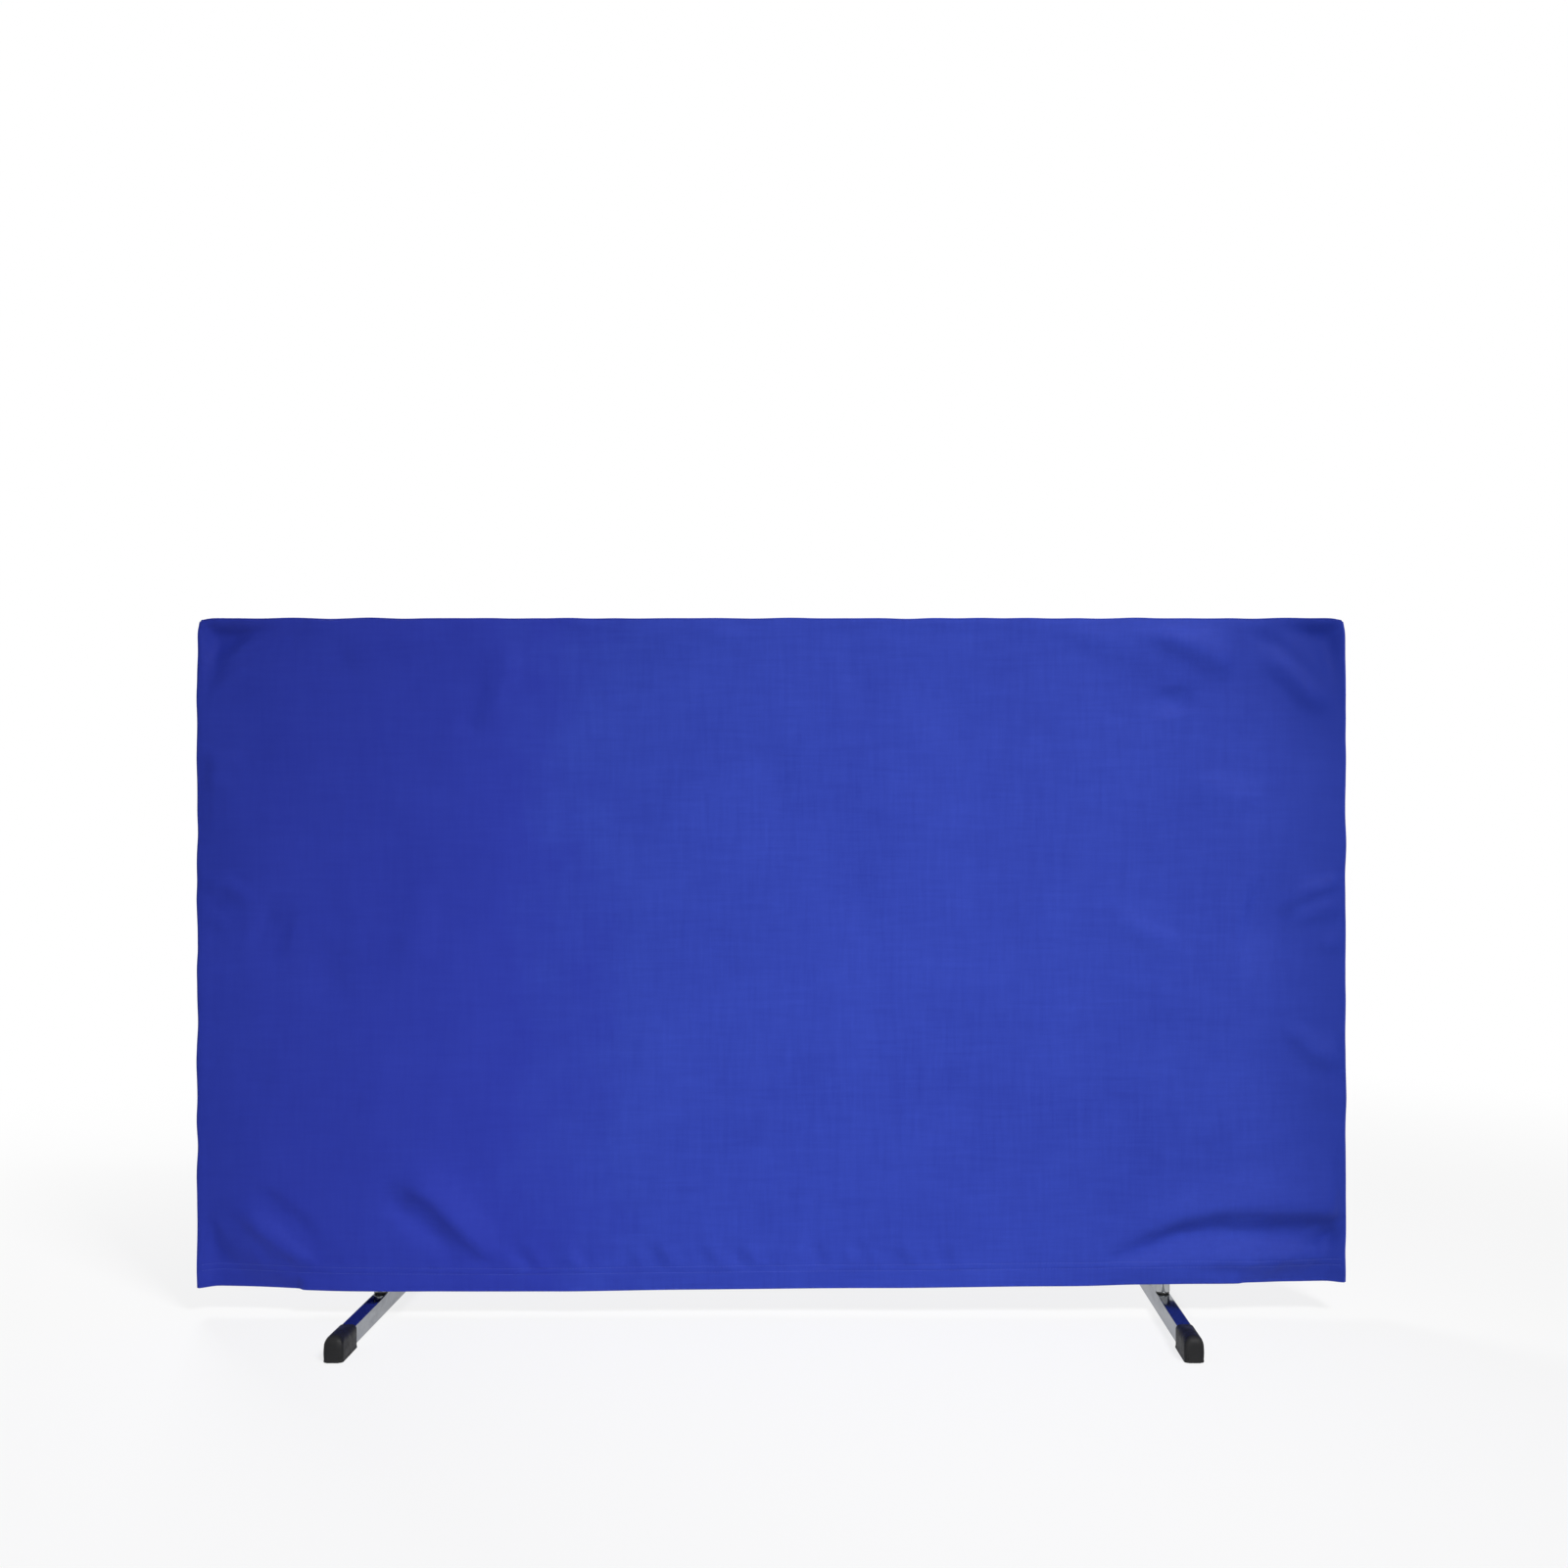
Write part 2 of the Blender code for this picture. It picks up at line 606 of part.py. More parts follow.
def fold_height(across_share, up_share):
    """How far the front panel stands out from its plane at a place on it."""
    point = Vector((across_share * COVER_WIDTH, up_share * COVER_HEIGHT))
    height = 0.0
    for depth_share, width_share, path_shares in FOLD_SHARES:
        path = [Vector((a * COVER_WIDTH, b * COVER_HEIGHT)) for a, b in path_shares]
        away = distance_to_path(point, path) / (FOLD_WIDTH * width_share)
        height += FOLD_DEPTH * depth_share * math.exp(-away * away)
    to_edge = min(point.x, COVER_WIDTH - point.x, COVER_HEIGHT - point.y, point.y)
    fade = min(1.0, to_edge / FOLD_FADE)
    return max(height, -COVER_SLACK / 2) * fade * fade * (3 - 2 * fade)


def make_panel(name, facing, columns, rows, folded):
    """A face of the cover. Its surface is the outer one, and facing is -1 in front and 1 at the back."""
    bm = bmesh.new()
    bmesh.ops.create_grid(bm, x_segments=columns, y_segments=rows, size=1.0)
    plane = cover_inside + CLOTH
    for vert in bm.verts:
        column_share = (vert.co.x + 1) / 2
        row_share = (vert.co.y + 1) / 2
        crowded_share = 0.5 - 0.5 * math.cos(math.pi * column_share)
        across_share = column_share + (crowded_share - column_share) * END_CROWDING_SHARE
        up_share = row_share + (row_share * row_share - row_share) * ROW_CROWDING_SHARE
        out = fold_height(across_share, up_share) if folded else 0.0
        bottom = hem_height(across_share)
        vert.co = (
            COVER_WIDTH * across_share - cover_half_width,
            facing * (plane + out),
            bottom + (cover_top_z - bottom) * up_share,
        )
    bmesh.ops.recalc_face_normals(bm, faces=bm.faces)
    bm.faces.ensure_lookup_table()
    if bm.faces[0].normal.y * facing < 0:
        bmesh.ops.reverse_faces(bm, faces=bm.faces)
    mesh = bpy.data.meshes.new("shape")
    bm.to_mesh(mesh)
    bm.free()
    panel = place(name, mesh, FABRIC, smooth=True)
    thicken(panel, CLOTH)


def make_gussets():
    """The narrow strips between the two faces, up both sides and along the top."""
    depth = cover_inside - GAP
    for side, sign in SIDES.items():
        outer = sign * cover_half_width
        inner = outer - sign * CLOTH
        low = (min(outer, inner), -depth, hem_height((1 + sign) / 2))
        high = (max(outer, inner), depth, cover_top_z)
        place(f"cover_{side}_gusset", box_mesh(low, high), FABRIC)
    half = cover_half_width - CLOTH - GAP
    low = (-half, -depth, cover_top_z - CLOTH)
    place("cover_top_gusset", box_mesh(low, (half, depth, cover_top_z)), FABRIC)


def make_closure():
    """The flap under the bottom rail, from the back panel's hem to the tapes inside the front panel's hem."""
    flap_half = foot_x - boss_radius - FLAP_END_SPACE
    flap_z = rail_bottom_z - FLAP_DROP
    loop_y = -cover_inside + GAP
    hook_y = loop_y + TAPE_THICKNESS + GAP
    front_y = hook_y + TAPE_THICKNESS + GAP
    back_y = cover_inside - GAP
    top_z = flap_z + FLAP_LEG
    outline = ((front_y, top_z), (front_y, flap_z), (back_y, flap_z), (back_y, top_z))
    strips = len(outline) - 1
    bm = bmesh.new()
    bmesh.ops.create_grid(bm, x_segments=1, y_segments=strips, size=1.0)
    for vert in bm.verts:
        row_share = (vert.co.y + 1) / 2
        y, z = outline[round(row_share * strips)]
        vert.co = (vert.co.x * flap_half, y, z)
    bm.normal_update()
    bm.faces.ensure_lookup_table()
    middle = min(bm.faces, key=lambda face: face.calc_center_median().z)
    if middle.normal.z > 0:
        bmesh.ops.reverse_faces(bm, faces=bm.faces)
    mesh = bpy.data.meshes.new("shape")
    bm.to_mesh(mesh)
    bm.free()
    flap = place("closure_flap", mesh, FABRIC)
    thicken(flap, TAPE_THICKNESS)
    for name, y in (("closure_loop_tape", loop_y), ("closure_hook_tape", hook_y)):
        low = (-flap_half, y, flap_z)
        high = (flap_half, y + TAPE_THICKNESS, top_z)
        place(name, box_mesh(low, high), TAPE)


make_frame()
make_feet()
for side_name, side_sign in SIDES.items():
    make_pivot(side_name, side_sign)
make_panel("cover_front_panel", -1, PANEL_COLUMN_COUNT, PANEL_ROW_COUNT, folded=True)
make_panel("cover_back_panel", 1, BACK_COLUMN_COUNT, BACK_ROW_COUNT, folded=False)
make_gussets()
make_closure()
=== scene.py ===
"""Looks of the table tennis barrier: the sewn cover, the chrome frame and feet, their rubber caps and pivots.

Metres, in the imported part's own frame: +X along the barrier, -Y towards the table, +Z up, the floor at Z = 0.
"""

import math

import bmesh
import bpy
import numpy as np
from mathutils import Matrix, Vector, noise


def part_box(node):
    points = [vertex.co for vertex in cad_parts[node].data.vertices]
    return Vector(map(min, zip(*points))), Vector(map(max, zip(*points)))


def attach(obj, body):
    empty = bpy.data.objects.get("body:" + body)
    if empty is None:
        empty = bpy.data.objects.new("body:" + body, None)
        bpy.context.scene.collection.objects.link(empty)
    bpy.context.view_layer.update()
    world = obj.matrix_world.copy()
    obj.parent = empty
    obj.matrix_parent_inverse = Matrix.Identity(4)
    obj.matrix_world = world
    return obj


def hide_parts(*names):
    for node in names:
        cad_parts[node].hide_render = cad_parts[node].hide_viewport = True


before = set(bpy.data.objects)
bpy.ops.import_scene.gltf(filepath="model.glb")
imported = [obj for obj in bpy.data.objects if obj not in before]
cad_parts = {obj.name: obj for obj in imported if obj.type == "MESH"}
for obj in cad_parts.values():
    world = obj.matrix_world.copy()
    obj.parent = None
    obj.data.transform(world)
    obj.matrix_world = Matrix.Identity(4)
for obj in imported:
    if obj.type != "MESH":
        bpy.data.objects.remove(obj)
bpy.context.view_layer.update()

MM = 0.001
SIDES = {"left": -1, "right": 1}
LEVELS = {"top": 1, "bottom": -1}
RUNS = ("rail", "upright")
SCREWS = [f"{level}_{side}_{run}_screw" for level in LEVELS for side in SIDES for run in RUNS]

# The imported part's own sizes, read from its boxes
cover_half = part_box("cover_back_panel")[1].x
cover_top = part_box("cover_back_panel")[1].z
cover_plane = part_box("cover_back_panel")[1].y
rail_low, rail_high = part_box("bottom_rail")
tube_radius = (rail_high.z - rail_low.z) / 2
rail_z = (rail_high.z + rail_low.z) / 2
top_rail_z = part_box("top_rail")[1].z - tube_radius
upright_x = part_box("right_upright")[1].x - tube_radius
foot_low, foot_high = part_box("right_foot_tube")
foot_x = (foot_low.x + foot_high.x) / 2
flap_low, flap_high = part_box("closure_flap")

# Sizes of the rigid pieces that the boxes don't give
TUBE_WALL = 1.0 * MM
GAP = 0.3 * MM
BEND_RADIUS = 100 * MM
BEND_TAIL = 30 * MM
SPIGOT = 30 * MM
NECK = 1.5 * MM
FOOT_CORNER = 1.4 * MM
CAP_RIM = 1.2 * MM
CAP_LIP = 0.4 * MM
BORE = 3.3 * MM  # radius of the holes round a pivot bolt
DRILL_PAST = 2 * MM
SCREW_HOLE = 1.8 * MM
NECK_EASE = 0.5 * MM
CAP_NOSE = 9.0 * MM  # length of a boot's rounded end
NOSE_PLAN = 3.5 * MM  # length of its rounding seen from above
CAP_NOSE_WALL = 10.0 * MM  # from the tube's end to the boot's end
SOLE_EDGE = 0.45 * MM
LIP_HIGH = 2.2 * MM
THREAD_PITCH, THREAD_DEPTH = 1.0 * MM, 0.42 * MM  # of a pivot bolt
BOLT_SIDES = 36
COS_30 = math.cos(math.radians(30))

# Photograph, for places that were read from it
PHOTO_SIDE = 1601
PHOTO_PIXELS_PER_METRE = 980.0  # at the cover's front
PHOTO_COVER_MIDDLE = 787.5
PHOTO_COVER_LEFT = 203
PHOTO_COVER_RIGHT = 1377
PHOTO_COVER_TOP = 630
PHOTO_VANISHING = (869, 848)
CAMERA_DISTANCE = 1.80  # from the cover's front
SENSOR_WIDTH = 36.0

# Cloth
CLOTH = 0.45 * MM
YARN = 0.6 * MM
COARSE_STEP = 6.5 * MM  # of the simulated net
SIM_FRAMES = 18
SIM_SHARE = 0.55  # how far the cloth goes from its drawn shape to its simulated one
HEM_TURN = 0.6 * MM  # radius of the hem's fold
HEM_STITCHES = (17.4 * MM, 23.5 * MM)  # above the hem's edge
HEM_ROWS = (0.0, 1.5, 3.5, 6.0, 9.0, 12.0, 14.5, 16.2, 17.4, 18.6, 20.4, 22.3, 23.5, 24.7, 26.0)
LOW_ROWS = np.array((*HEM_ROWS, 28.0, 30.5, 33.5, 37.0, 41.0, 45.5, 50.0)) * MM  # above the hem's edge
TUBE_ROOM = 0.3 * MM  # that the strips keep from the tubes
PANEL_ROOM = 0.6 * MM  # that the panels keep from them
LEAVING_SHARE = 0.72  # of the cloth's radius round a tube, where it leaves on a straight slope
STRIP_MIDDLE = 5 * MM  # half of the part of a strip that can come down on its tube
PANEL_SOFTNESS, STRIP_SOFTNESS = 0.4 * MM, 0.15 * MM  # with which the cloth lies down on something
TENT_TOP, TENT_REACH, TENT_SLOPE = 5.5 * MM, 14 * MM, 0.6  # of the cloth over a screw's head
FLAP_MARGIN = (4 * MM, 2 * MM)  # beside and above the flap, within which a panel stays flat
FLAP_FADE = 14 * MM
FLAP_DIP = 0.25 * MM
FLAP_CORNER, FLAP_SAG = 1.6 * MM, 0.5 * MM
TAPES_ROOM, TAPE_THICKNESS, TAPE_ROUGH = 2.0 * MM, 0.4 * MM, 0.10 * MM
TAPE_PLACES = {"hook": 0.55 * MM, "loop": 1.15 * MM}  # in front of the flap
STRIP_CROWN = 0.25 * MM
TOP_DENTS, SIDE_DENTS, DENT_SIZE = 0.88 * MM, 0.96 * MM, 30 * MM
STITCH_PITCH = 3.2 * MM
STITCH_LENGTH = 2.5 * MM
THREAD_RADIUS = 0.17 * MM
# Rings of a stitch: share of its length, share of the thread's radius, rise above the cloth in millimetres
STITCH_SHAPE = ((0, 0.45, -0.02), (0.12, 1, 0.13), (0.5, 1, 0.17), (0.88, 1, 0.13), (1, 0.45, -0.02))

# The cloth simulation: how firmly the hem is held, and Blender's own settings
HEM_HELD = 0.9
CLOTH_SETTINGS = {
    "quality": 5, "mass": 0.12 * COARSE_STEP**2, "tension_stiffness": 40, "compression_stiffness": 40,
    "shear_stiffness": 15, "bending_stiffness": 0.02, "air_damping": 3, "vertex_group_mass": "held",
    "pin_stiffness": 4, "vertex_group_shrink": "drawn_in", "shrink_min": 0.0, "shrink_max": 0.012,
}

# Seams
SEAM_TURN = 0.9 * MM  # radius with which a panel turns into a seam
SEAM_GAP = 0.22 * MM  # from a seam's middle to each of its two cloths
SEAM_ALLOWANCE = 3 * MM
SEAM_ANGLE = 135  # degrees that a sheet turns into a seam
SEAM_EASE = 2.414 * SEAM_TURN + 1.414 * (CLOTH / 2 + SEAM_GAP)  # from the last flat row to the seam's corner
SEAM_WAVE = 1.1 * MM
SEAM_REACH = 14 * MM  # how far from a seam its waves go
CORNER_SOFTNESS = 1.9 * MM
CORNER_REACH = 11 * MM
CORNER_THINNER = 0.7  # share of the softness that also goes into the cover's depth
SEAM_NEAR = 8 * MM  # a fold that ends this near to a side seam starts in the seam

# Painted shade on the cloth: darker towards its side seams and its upper right corner, and a deeper blue on its
# left
SEAM_SHADE_WIDTH = 95 * MM
SEAM_RAGGED = 20 * MM
RIGHT_SHADE = 0.55
LEFT_SHADE = 0.28
CORNER_SHADE_WIDTH = 165 * MM
CORNER_SHADE = 0.85
PAINTED_LEFT_FROM = 330 * MM  # the painted shade of deeper blue on the left starts to fade here, from the left seam
PAINTED_LEFT_TO = 450 * MM
PAINTED_LEFT_RAGGED = 55 * MM
PAINTED_LEFT_SHARE = 0.42
SCUFF_HEIGHT = 4.0 * MM  # on the rubber boots
FLOOR_FADE = (0.6, 2.2)  # distances between which the floor turns white

# The hem's height above the floor along the barrier
HEM_LINE = ((-600 * MM, 30.0 * MM), (-276 * MM, 27.0 * MM), (120 * MM, 30.7 * MM), (600 * MM, 36.2 * MM))

# How the tubes show: the cloth's sag between them and its drop outside their bends
SAG, SAG_REACH = 2.4 * MM, 32 * MM
DROP, DROP_REACH = 7.0 * MM, 26 * MM

# Folds of the front, each as a path in the photograph's pixels, its width on the left and on the right of the
# path in millimetres, and its height in millimetres (below zero is a valley)
LEFT, RIGHT = PHOTO_COVER_LEFT, PHOTO_COVER_RIGHT
FRONT_FOLDS = (
    (((1150, 1262), (1200, 1243), (1235, 1232), (1290, 1231), (RIGHT, 1236)), 30, 10, 8.6),
    (((1105, 1287), (1160, 1276), (1205, 1262), (1250, 1257), (RIGHT, 1262)), 10, 14, -7.8),
    (((1268, 1301), (1284, 1286), (1296, 1272)), 4, 6, 2.6),
    (((1292, 1302), (1306, 1288), (1316, 1276)), 4, 5, 2.4),
    (((1322, 1300), (1338, 1284), (1350, 1275)), 4, 6, 2.6),
    (((1150, 1300), (1176, 1290), (1200, 1286)), 5, 7, 2.2),
    (((1200, 1290), (1290, 1284), (RIGHT, 1284)), 10, 10, 3.0),
    (((395, 1196), (440, 1222), (480, 1262), (512, 1296)), 26, 9, 7.2),
    (((383, 1216), (428, 1246), (470, 1286)), 10, 15, -4.5),
    (((243, 1222), (262, 1252), (290, 1276), (335, 1292)), 10, 13, 5.4),
    (((262, 1205), (290, 1240), (325, 1262)), 13, 13, -3.0),
    (((LEFT, 655), (262, 650), (335, 636)), 24, 14, -4.0),
    (((330, 690), (400, 655), (470, 640)), 16, 16, 2.4),
    (((534, 655), (515, 690), (482, 744)), 14, 20, 3.4),
    (((460, 742), (478, 738), (500, 700)), 12, 14, -2.4),
    (((1167, 644), (1220, 660), (1271, 688)), 15, 15, 5.6),
    (((1286, 664), (1325, 690), (1350, 735)), 15, 15, 6.0),
    (((1262, 640), (1305, 660), (1345, 700)), 9, 9, -2.6),
    (((1197, 700), (1205, 730)), 18, 18, -5.0),
    (((1264, 930), (1323, 940)), 44, 44, -4.6),
    (((1135, 925), (1165, 950), (1220, 970)), 11, 18, 3.2),
    (((1210, 790), (1262, 815), (1300, 812)), 16, 16, 2.6),
    (((RIGHT, 898), (1330, 912), (1300, 935)), 6, 9, 4.0),
    (((RIGHT, 925), (1345, 930), (1318, 945)), 6, 9, 2.6),
    (((RIGHT, 960), (1345, 968)), 6, 9, 2.6),
    (((RIGHT, 1085), (1340, 1075), (1310, 1040)), 9, 12, 4.2),
    (((LEFT, 720), (228, 700), (250, 672)), 7, 9, 2.2),
    (((LEFT, 772), (225, 776), (250, 770)), 6, 8, 2.4),
    (((LEFT, 800), (232, 792)), 6, 8, 2.2),
    (((LEFT, 905), (230, 900), (262, 925)), 7, 10, 3.0),
    (((LEFT, 935), (236, 940)), 6, 9, 2.6),
    (((255, 940), (300, 955)), 24, 28, -3.6),
    (((360, 900), (330, 960), (345, 1040)), 30, 34, -4.0),
    (((430, 880), (420, 960), (440, 1010)), 22, 22, 3.0),
)
# Folds of the back, as the same measures on the same sheet of places
BACK_FOLDS = (
    (((LEFT, 1236), (300, 1246), (380, 1262), (450, 1286)), 9, 24, 4.0),
    (((LEFT, 1262), (320, 1268), (430, 1292)), 12, 9, -3.0),
    (((1330, 1190), (1290, 1240), (1235, 1290)), 9, 20, 2.6),
    (((1316, 1215), (1270, 1262)), 12, 10, -1.8),
    (((640, 640), (655, 700), (700, 770)), 14, 20, 2.0),
    (((255, 690), (232, 735), (222, 800)), 12, 14, 2.0),
    (((RIGHT, 760), (1340, 766), (1310, 790)), 6, 9, 1.6),
    (((LEFT, 1010), (240, 1004), (275, 1020)), 6, 9, 1.6),
    (((1010, 1290), (1050, 1240), (1120, 1200)), 10, 20, 2.0),
)
FOLD_FADE = 0.3  # share of a fold's length in which its loose end dies out

DRAWN_FADE = 20 * MM  # distance from the seams over which the drawn shapes grow

# Unevenness of a whole panel: height in millimetres, size of its features in metres, seed step
UNEVENNESS = ((7.0, 0.26, 0), (3.6, 0.12, 3), (1.6, 0.060, 6))

# Ripples along a panel's sewn edges, all lengths in millimetres: height, size of their features, seed step,
# stretch of the features, the edge, the distance from it of their middle, and their reach
DRAWN_RIPPLES = ((1.4, 22, 2, (1, 0.4), "hem", 34, 22), (1.3, 22, 4, (0.4, 1), "side", 0, 34))
SEWN_RIPPLES = (
    (0.5, 8.5, 20, (1, 0.25), "hem", 20, 9),
    (0.7, 14, 50, (0.3, 1), "side", 0, 14),
    (0.5, 16, 60, (1, 0.3), "top", 0, 12),
)
PUCKER_HEIGHT, PUCKER_SIZE, PUCKER_LEAN = 2.6 * MM, 17 * MM, 0.4
PUCKER_MIDDLE, PUCKER_REACH = 33 * MM, 13 * MM  # above the hem
PUCKER_BUSY = (500, 1010)  # columns of the photograph between which the hem puckers most
PUCKER_STARTS, PUCKER_ENDS = 50 * MM, 80 * MM
PUCKER_LEAST, PUCKER_MORE = 0.5, 0.8  # elsewhere, and what the busy part has more
DOUBLE_RISE, DOUBLE_END, DOUBLE_FADE = 0.35 * MM, 22 * MM, 6 * MM  # the hem's double thickness
GROOVE_DEPTH, GROOVE_REACH = 0.30 * MM, 1.1 * MM  # along its stitches
DETAIL_FADE, DETAIL_AT_SEAM = 5 * MM, 0.12

NOISE_MIDDLE = (0.3, 0.7)  # where most values of a noise lie
SUM_MIDDLE = (0.7, 1.3)  # and of the sum of two


def photo_x(pixel):
    """The place along the barrier of a column of the photograph, at the cover's front."""
    return (pixel - PHOTO_COVER_MIDDLE) / PHOTO_PIXELS_PER_METRE


def photo_z(pixel):
    """The height of a row of the photograph, at the cover's front."""
    return cover_top - (pixel - PHOTO_COVER_TOP) / PHOTO_PIXELS_PER_METRE


# Materials


class Nodes:
    """Short ways to add nodes to a node tree."""

    def __init__(self, tree):
        self.nodes, self.links = tree.nodes, tree.links

    def feed(self, socket, value):
        """Links an output to a socket, or gives the socket a plain value."""
        if isinstance(value, bpy.types.NodeSocket):
            self.links.new(value, socket)
        else:
            socket.default_value = value

    def node(self, kind, **values):
        """A new node, its inputs fed by name."""
        node = self.nodes.new(kind)
        for name, value in values.items():
            self.feed(node.inputs[name.replace("_", " ")], value)
        return node

    def maths(self, operation, a, b):
        node = self.node("ShaderNodeMath")
        node.operation = operation
        for socket, value in zip(node.inputs, (a, b)):
            self.feed(socket, value)
        return node.outputs[0]

    def spread(self, output, low, high, to_low, to_high, interpolation="LINEAR"):
        """Maps a value from one range to another, held within it."""
        ends = {"From_Min": low, "From_Max": high, "To_Min": to_low, "To_Max": to_high}
        node = self.node("ShaderNodeMapRange", Value=output, **ends)
        node.interpolation_type = interpolation
        return node.outputs["Result"]

    def distance(self, places, point):
        node = self.node("ShaderNodeVectorMath", Vector=places)
        node.operation = "DISTANCE"
        node.inputs[1].default_value = point
        return node.outputs["Value"]


class Look(Nodes):
    """A material under construction."""

    def __init__(self, name, colour, roughness, metallic=0.0, specular=0.5):
        self.mat = bpy.data.materials.new(name)
        self.mat.use_nodes = True
        super().__init__(self.mat.node_tree)
        self.shader = self.nodes["Principled BSDF"]
        self.set("Base Color", (*colour, 1.0))
        self.set("Roughness", roughness)
        self.set("Metallic", metallic)
        self.set("Specular IOR Level", specular)
        self.places = self.node("ShaderNodeTexCoord").outputs["Object"]

    def set(self, socket, value):
        self.feed(self.shader.inputs[socket], value)

    def noise(self, scale, detail=3.0, roughness=0.55, scales=(1, 1, 1)):
        places = self.node("ShaderNodeMapping", Vector=self.places, Scale=scales).outputs["Vector"]
        node = self.node("ShaderNodeTexNoise", Vector=places, Scale=scale, Detail=detail, Roughness=roughness)
        return node.outputs["Fac"]

    def cells(self, scale):
        return self.node("ShaderNodeTexVoronoi", Vector=self.places, Scale=scale).outputs["Distance"]

    def bands(self, axis, period):
        wear = {"Distortion": 0.6, "Detail": 1.0, "Detail_Scale": 0.4}
        node = self.node("ShaderNodeTexWave", Vector=self.places, Scale=math.pi / (10 * period), **wear)
        node.wave_type = "BANDS"
        node.bands_direction = axis
        return node.outputs["Fac"]

    def split(self, axis):
        return self.node("ShaderNodeSeparateXYZ", Vector=self.places).outputs[axis]

    def frayed(self, value, ragged, amount):
        """A distance that a noise moves by an amount either way."""
        return self.maths("ADD", value, self.spread(ragged, *NOISE_MIDDLE, -amount, amount))

    def painted_seam_shade(self, ragged):
        """Painted shade: how much darker the cloth is made towards its side seams, more on the right, and
        towards its upper right corner.
        """
        across = self.frayed(self.split("X"), ragged, SEAM_RAGGED)
        right = self.spread(across, cover_half - SEAM_SHADE_WIDTH, cover_half, 0.0, RIGHT_SHADE)
        left = self.spread(across, -cover_half, SEAM_SHADE_WIDTH - cover_half, LEFT_SHADE, 0.0)
        from_corner = self.distance(self.places, (cover_half, 0.0, cover_top))
        from_corner = self.frayed(from_corner, ragged, SEAM_RAGGED)
        corner = self.spread(from_corner, 0.0, CORNER_SHADE_WIDTH, CORNER_SHADE, 0.0)
        return self.maths("ADD", self.maths("ADD", left, right), corner)

    def painted_left_shade(self, ragged):
        """How much painted shade of a deeper, duller blue the cloth gets in its left part."""
        across = self.frayed(self.split("X"), ragged, PAINTED_LEFT_RAGGED)
        return self.spread(across, PAINTED_LEFT_FROM - cover_half, PAINTED_LEFT_TO - cover_half, PAINTED_LEFT_SHARE, 0.0)

    def blend(self, factor, *colours):
        node = self.node("ShaderNodeMix")
        node.data_type = "RGBA"
        self.feed(node.inputs["Factor"], factor)
        for socket, colour in zip((node.inputs[6], node.inputs[7]), colours):
            self.feed(socket, (*colour, 1.0) if isinstance(colour, tuple) else colour)
        return node.outputs[2]

    def bump(self, *layers):
        """Stacks heights on the surface, each as (height output, distance in millimetres)."""
        below = {}
        for height, distance in layers:
            node = self.node("ShaderNodeBump", Strength=1.0, Distance=distance * MM, Height=height, **below)
            below = {"Normal": node.outputs["Normal"]}
        self.set("Normal", below["Normal"])


def squeezed(axis, share):
    """Scales of the three axes, one of them small, so that a noise is drawn out along it."""
    return tuple(share if name == axis else 1.0 for name in "XYZ")


def fabric_look(name, across, along, painted_shade=True):
    """Blue plain woven polyester, yarns along two axes. Painted shade: deeper blue on its left and, where
    asked, darker near the seams.
    """
    look = Look(name, (0.022, 0.044, 0.385), 0.62, specular=0.14)
    weave = look.maths("MULTIPLY", look.bands(across, YARN), look.bands(along, YARN))
    axes = (across, along)
    streaks = look.maths("ADD", *[look.noise(900, 2, scales=squeezed(axis, 0.03)) for axis in axes])
    slubs = look.maths("ADD", *[look.noise(210, 3, scales=squeezed(axis, 0.10)) for axis in axes])
    cloudy = look.noise(7, 5, 0.65)
    lines = look.spread(streaks, *SUM_MIDDLE, 0.0, 0.24)
    lines = look.maths("ADD", lines, look.spread(slubs, *SUM_MIDDLE, 0.0, 0.30))
    patches = look.spread(cloudy, *NOISE_MIDDLE, 0.0, 0.34)
    tone = look.maths("ADD", lines, look.maths("ADD", patches, look.spread(weave, 0.0, 1.0, 0.0, 0.12)))
    cloth = look.blend(tone, (0.0160, 0.0330, 0.305), (0.0300, 0.0590, 0.425))
    # Painted shade: a deeper, duller blue over the left part of the cloth
    cloth = look.blend(look.painted_left_shade(cloudy), cloth, (0.0165, 0.0220, 0.332))
    if painted_shade:
        # Painted shade: a darker navy towards the side seams and the upper right corner
        cloth = look.blend(look.painted_seam_shade(cloudy), cloth, (0.0085, 0.0240, 0.250))
    look.set("Base Color", cloth)
    look.set("Roughness", look.spread(streaks, *SUM_MIDDLE, 0.52, 0.66))
    look.bump((streaks, 0.05), (weave, 0.09))
    look.set("Sheen Weight", 0.03)
    look.set("Sheen Roughness", 0.45)
    look.set("Sheen Tint", (0.35, 0.50, 1.0, 1.0))
    return look.mat


def chrome_look(name, along):
    """Bright chrome plate, with faint lines drawn along the tube, a film of dust and a few dull patches."""
    look = Look(name, (0.36, 0.37, 0.38), 0.08, metallic=1.0)
    look.set("Specular Tint", (0.62, 0.63, 0.66, 1.0))
    lines = look.noise(1400, 2, scales=squeezed(along, 0.02))
    dull = look.noise(60, 5, 0.65, squeezed(along, 0.45))
    film = look.spread(dull, 0.45, 0.75, 0.0, 1.0)
    look.set("Base Color", look.blend(film, (0.40, 0.41, 0.42), (0.28, 0.285, 0.30)))
    look.set("Roughness", look.spread(look.maths("ADD", dull, lines), 0.8, 1.4, 0.05, 0.17))
    look.bump((look.noise(45, 2), 0.05), (lines, 0.002))
    return look.mat


